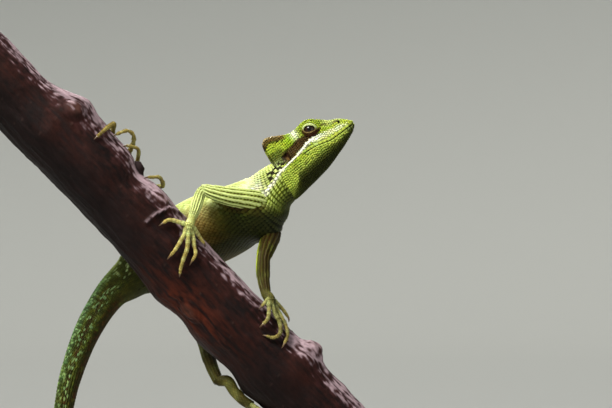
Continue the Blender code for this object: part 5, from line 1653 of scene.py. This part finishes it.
def ridged(noise):
    """Sharp crests from smooth noise: 1 where it passes its middle, falling to 0 both ways."""
    return 1 - np.abs(2 * noise - 1)


def bark_relief(along, angle):
    """Heights over the outline, and the shares of knot, pore, furrow and fold at each place."""
    spot = stack(along, np.cos(angle) * BARK_RADIUS, np.sin(angle) * BARK_RADIUS)
    wide = ridged(value_noise(spot / (20.0, 3.4, 3.4), 1.0, 41))
    narrow = ridged(value_noise(spot / (7.0, 1.4, 1.4), 1.0, 49))
    middle = value_noise(spot, 5.5, 42) - 0.5
    fine = value_noise(spot, 0.9, 43) - 0.5
    grain = value_noise(spot * (0.35, 1.0, 1.0), 0.55, 44) - 0.5
    height = 0.65 * (wide - 0.6) + 0.30 * (narrow - 0.6) + 0.55 * middle + 0.14 * fine + 0.12 * grain
    knot, fold, pore = (np.zeros(along.shape) for _ in range(3))
    for place, degrees, radius, share in KNOTS:
        arc = around(angle, math.radians(degrees)) * ARC
        far = np.hypot((along - place) / (1.25 * radius), arc / (0.9 * radius)) * (1 + 0.35 * middle)
        dome = np.clip(1 - (far / 1.15) ** 2, 0, 1)
        height = height + radius * share * dome**1.3 * (0.95 - 0.45 * bell(far / 0.25))
        height = height + 0.22 * np.sin(far * 14.0) * bell((far - 0.9) / 0.45)
        knot = np.maximum(knot, fall(far, 0.2, 0.9))
    for line, high, half in FOLDS:
        share = fold_share(along, angle, line, half)
        height = height + high * share
        fold = np.maximum(fold, share)
    rng = np.random.default_rng(45)
    places = rng.uniform(BRANCH_OUTLINE[0, 0] + 3, BRANCH_OUTLINE[-1, 0] - 3, PORES)
    middles = rng.uniform(-math.pi, math.pi, PORES)
    halves = rng.uniform(0.6, 1.4, PORES)
    for place, turned, half in zip(places, middles, halves):
        row = np.flatnonzero(np.abs(along[:, 0] - place) < 2.0)
        arc = around(angle[row], turned) * ARC
        pore[row] = np.maximum(pore[row], bump(np.hypot((along[row] - place) / 0.50, arc / half)))
    height = height + 0.22 * pore * (1 - knot)
    return height, knot, pore, fall(0.6 * wide + 0.4 * narrow, 0.35, 0.62), fold


def bark_part():
    start, end = BRANCH_OUTLINE[[0, -1], 0]
    turn = np.arange(BARK_SIDES) * TURN / BARK_SIDES
    along, angle = np.broadcast_arrays(np.linspace(start, end, BARK_RINGS)[:, None], turn)
    height, knot, pore, furrow, fold = bark_relief(along, angle)
    inside = between(along, start, start + 1.0, end - 1.0, end)
    rings = on_branch(along, angle, (height - 0.1) * inside - 0.5 * (1 - inside))
    level = grid_normals(rings)[..., 2]
    cloud = value_noise(rings, 9.0, 46)
    small = value_noise(rings, 1.6, 47)
    rolled = stack(along * 0.2, np.cos(angle) * BARK_RADIUS, np.sin(angle) * BARK_RADIUS)
    streak = 0.6 * value_noise(rolled, 1.0, 50) + 0.4 * value_noise(rolled * 2.1, 1.0, 51)
    # A pool of orange-red light on the near side by the lower knot: painted light.
    warm = bell((along - 126.0) / 22.0, around(angle, math.radians(-38)) / 0.7)
    bud = np.hypot(along - 67.4, around(angle, math.radians(92)) * ARC)
    # rise is the height round the bar plus how far a face turns up, with noise: it places the painted highlight on
    # top.
    rise = 0.85 * np.sin(angle) + 0.20 * level + 0.30 * (small - 0.5)
    rise = rise + 0.55 * (streak - 0.5) + 0.25 * (cloud - 0.5)
    colours = paint(
        BARK_DARK,
        (BARK_RED, np.clip(0.9 * cloud + 1.0 * (streak - 0.5) + 0.5 * (small - 0.5), 0, 1)),
        # Painted shade: the lower half of the bar, turned away from the light, goes dark.
        (BARK_DARK, 0.85 * step_up(-np.sin(angle), -0.50, 0.40)),
        # Painted light: the pool of orange-red light.
        ((0.12, 0.020, 0.006), 0.5 * warm * step_up(streak, 0.2, 0.7)),
        # Painted highlight along the upper edge, where the bark turns up to the light: dark red, then pale mauve;
        # and mauve on the folds' upward faces.
        ((0.036, 0.011, 0.011), 0.8 * step_up(rise, 0.55, 0.90)),
        (BARK_HIGHLIGHT, 0.90 * step_up(rise, 0.82, 1.02)),
        (BARK_HIGHLIGHT, 0.55 * fold * step_up(level, 0.1, 0.6) * (along < 100)),
        ((0.010, 0.005, 0.005), 0.70 * furrow * (1 - 0.5 * step_up(rise, 0.6, 0.9))),
        ((0.09, 0.040, 0.028), 0.30 * knot),
        (DARK, 0.95 * fall(bud, 3.2, 4.8)),
        ((0.060, 0.034, 0.028), 0.30 * pore * (1 - knot)),
    )
    inner = np.linspace(0.03, 0.985, 26)[:, None]
    caps = []
    for ring in (rings[0], rings[-1]):
        middle = ring.mean(0)
        cap = middle + (ring - middle) * inner[..., None]
        year = 0.5 + 0.5 * np.sin(inner * 46 + 1.5 * inner**2) + 0.3 * (value_noise(cap, 2.0, 48) - 0.5)
        wood = mix(WOOD, (0.27, 0.15, 0.075), 0.7 * np.clip(year, 0, 1))
        caps.append((cap, mix(wood, (0.09, 0.035, 0.02), step_up(inner, 0.86, 0.93))))
    (first, first_tones), (last, last_tones) = caps
    rings = join([first, rings, last[::-1]])
    return grid_part(rings, join([first_tones, colours, last_tones[::-1]]), (0.0, 1.0, 0.0, 1.0))


bark = fill_mesh("bark", [bark_part()])

# %% [markdown]
# Finishes are written as sums and products. A small class holds one socket and has the operators, and each adds
# its Math node. Colours go through Mix, and any other node comes from one method.

# %% A finish's sockets
class Value:
    """One output socket of a finish, with the operators of arithmetic."""

    def __init__(self, finish, socket):
        self.finish = finish
        self.socket = socket

    def maths(self, operation, other):
        return self.finish.node("ShaderNodeMath", {"operation": operation}, {0: self, 1: other})

    def __add__(self, other):
        return self.maths("ADD", other)

    def __sub__(self, other):
        return self.maths("SUBTRACT", other)

    def __mul__(self, other):
        return self.maths("MULTIPLY", other)


class Finish:
    """A material in the making, with one method for every kind of node."""

    def __init__(self, name):
        self.material = bpy.data.materials.new(name)
        self.material.use_nodes = True
        self.tree = self.material.node_tree
        self.shader = self.tree.nodes["Principled BSDF"]

    def feed(self, socket, value):
        if isinstance(value, Value):
            self.tree.links.new(value.socket, socket)
        elif isinstance(value, tuple) and len(value) == 3 and socket.type == "RGBA":
            socket.default_value = (*value, 1.0)
        else:
            socket.default_value = value

    def node(self, kind, settings=None, values=None, output=0):
        """A node of this type, with its settings first, and then the number, colour or link of each input."""
        node = self.tree.nodes.new(kind)
        for name, setting in (settings or {}).items():
            setattr(node, name, setting)
        for name, value in (values or {}).items():
            self.feed(node.inputs[name], value)
        return Value(self, node.outputs[output])

    def place(self):
        return self.node("ShaderNodeTexCoord", output="Object")

    def tint(self):
        return self.node("ShaderNodeAttribute", {"attribute_name": "Tint"}, output="Color")

    def noise(self, size, detail=3.0, roughness=0.55):
        """Noise whose cells are this many millimetres wide."""
        values = {"Vector": self.place(), "Scale": 1000.0 / size, "Detail": detail, "Roughness": roughness}
        return self.node("ShaderNodeTexNoise", {}, values)

    def streaks(self, scale, detail, place=None):
        """Noise that is long in one direction: the place goes into it times a scale for each axis."""
        long = self.node("ShaderNodeMapping", {}, {"Vector": place or self.place(), "Scale": scale})
        return self.node("ShaderNodeTexNoise", {}, {"Vector": long, "Scale": 1.0, "Detail": detail})

    def blend(self, first, second, share, kind="MIX"):
        values = {0: share, 6: first, 7: second}
        return self.node("ShaderNodeMix", {"data_type": "RGBA", "blend_type": kind}, values, 2)

    def shaded(self, grey):
        """The point colours times a grey."""
        shade = self.node("ShaderNodeCombineColor", {}, {0: grey, 1: grey, 2: grey})
        return self.blend(self.tint(), shade, 1.0, "MULTIPLY")

    def bump(self, height, distance, strength=0.6):
        values = {"Height": height, "Distance": distance * MM, "Strength": strength}
        return self.node("ShaderNodeBump", {}, values)

    def set(self, **values):
        """Sets or links the shader's own sockets: a word's low line stands for a space."""
        for name, value in values.items():
            self.feed(self.shader.inputs[name.replace("_", " ")], value)


# %% [markdown]
# Skin and scales share a finish: the point colours are the markings with their painted shade and highlights, a
# noise makes them uneven, and horn over colour has a soft gloss. The lids are moister and smoother, and the eye's
# front is clear, so it has a coat.

# %% Finishes of the animal
def scale_finish(name, rough, depth):
    finish = Finish(name)
    cloud = finish.noise(2.4, 4.0)
    speck = finish.noise(0.35, 2.0)
    finish.set(
        Base_Color=finish.shaded(cloud * 0.35 + speck * 0.30 + 0.68),
        Roughness=speck * 0.22 + (rough - 0.11),
        Normal=finish.bump(speck, depth, 0.5),
        Specular_IOR_Level=0.07,
    )
    return finish.material


skin_finish = scale_finish("iguana_skin", 0.62, 0.05)
coat_finish = scale_finish("iguana_scales", 0.50, 0.03)
lid_finish = scale_finish("iguana_lids", 0.42, 0.05)

eye_finish = Finish("iguana_eye")
eye_cloud = eye_finish.noise(0.5, 3.0)
eye_finish.set(
    Base_Color=eye_finish.shaded(eye_cloud * 0.5 + 0.75),
    Roughness=eye_cloud * 0.06 + 0.04,
    Specular_IOR_Level=0.1,
    Coat_Weight=0.7,
    Coat_Roughness=0.02,
)

claw_finish = Finish("claw_horn")
claw_streak = claw_finish.noise(0.25, 2.0)
claw_finish.set(
    Base_Color=claw_finish.shaded(claw_streak * 0.7 + 0.65),
    Roughness=claw_streak * 0.15 + 0.22,
    Normal=claw_finish.bump(claw_streak, 0.02, 0.3),
)

# %% [markdown]
# Bark is dull, with fibres along the branch and fine grain. The base is pale satin wood, and the rod is
# brushed steel. Their lines come from noise that is long in one direction.

# %% Finishes of the branch and stand
bark_finish = Finish("bark")
bark_cloud = bark_finish.noise(6.0, 5.0, 0.6)
bark_grain = bark_finish.noise(0.7, 4.0, 0.65)
bark_turn = {"Vector": bark_finish.place(), "Rotation": (0.0, -math.atan(BRANCH_SLOPE), 0.0)}
bark_place = bark_finish.node("ShaderNodeMapping", {}, bark_turn)
bark_fibre = bark_finish.streaks((180.0, 900.0, 900.0), 4.0, bark_place)
bark_finish.set(
    Base_Color=bark_finish.shaded(bark_cloud * 0.6 + bark_grain * 0.7 + bark_fibre * 1.1 - 0.15),
    Roughness=bark_grain * 0.3 + 0.55,
    Normal=bark_finish.bump(bark_grain * 0.5 + bark_fibre * 0.5, 0.35, 0.8),
    Specular_IOR_Level=0.10,
)

base_finish = Finish("stand_wood")
base_grain = base_finish.streaks((14.0, 230.0, 230.0), 5.0)
base_cloud = base_finish.noise(30.0, 3.0)
base_tone = base_grain * 1.3 + base_cloud * 0.4 - 0.35
base_finish.set(
    Base_Color=base_finish.blend((0.34, 0.22, 0.12), (0.62, 0.47, 0.31), base_tone),
    Roughness=base_grain * 0.20 + base_cloud * 0.10 + 0.32,
    Normal=base_finish.bump(base_grain, 0.04, 0.3),
)

steel_finish = Finish("stand_steel")
steel_line = steel_finish.streaks((300.0, 300.0, 6000.0), 2.0)
steel_finish.set(
    Base_Color=steel_finish.blend((0.42, 0.42, 0.43), (0.60, 0.60, 0.61), steel_line),
    Metallic=1.0,
    Roughness=steel_line * 0.18 + 0.22,
    Normal=steel_finish.bump(steel_line, 0.01, 0.25),
)

# %% [markdown]
# Each piece gets its finish and its place in the frame. The skin stands for all the flesh solids. The stand's
# solids have the right shape, so they stay and only change their finish.

# %% Putting it together
FLESH = (
    "head", "neck", "chest", "belly", "pelvis", "tail_1", "tail_2", "tail_3", "tail_4", "tail_5",
    "upper_arm_right", "forearm_right", "hand_right", "upper_arm_left", "forearm_left", "hand_left",
    "thigh_right", "shank_right", "foot_right", "thigh_left", "shank_left", "foot_left",
)


def wear(piece, material, nodes=()):
    piece.data.materials.clear()
    piece.data.materials.append(material)
    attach(piece, "root")
    if nodes:
        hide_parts(*nodes)


wear(skin, skin_finish, FLESH)
wear(lids, lid_finish)
wear(eye_right, eye_finish.material, ("eye_right",))
wear(eye_left, eye_finish.material, ("eye_left",))
for piece in coat:
    wear(piece, coat_finish)
wear(claws, claw_finish.material)
wear(bark, bark_finish.material, ("branch",))
for node, finish in (("stand_base", base_finish), ("stand_rod", steel_finish)):
    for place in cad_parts[node].material_slots:
        place.material = finish.material
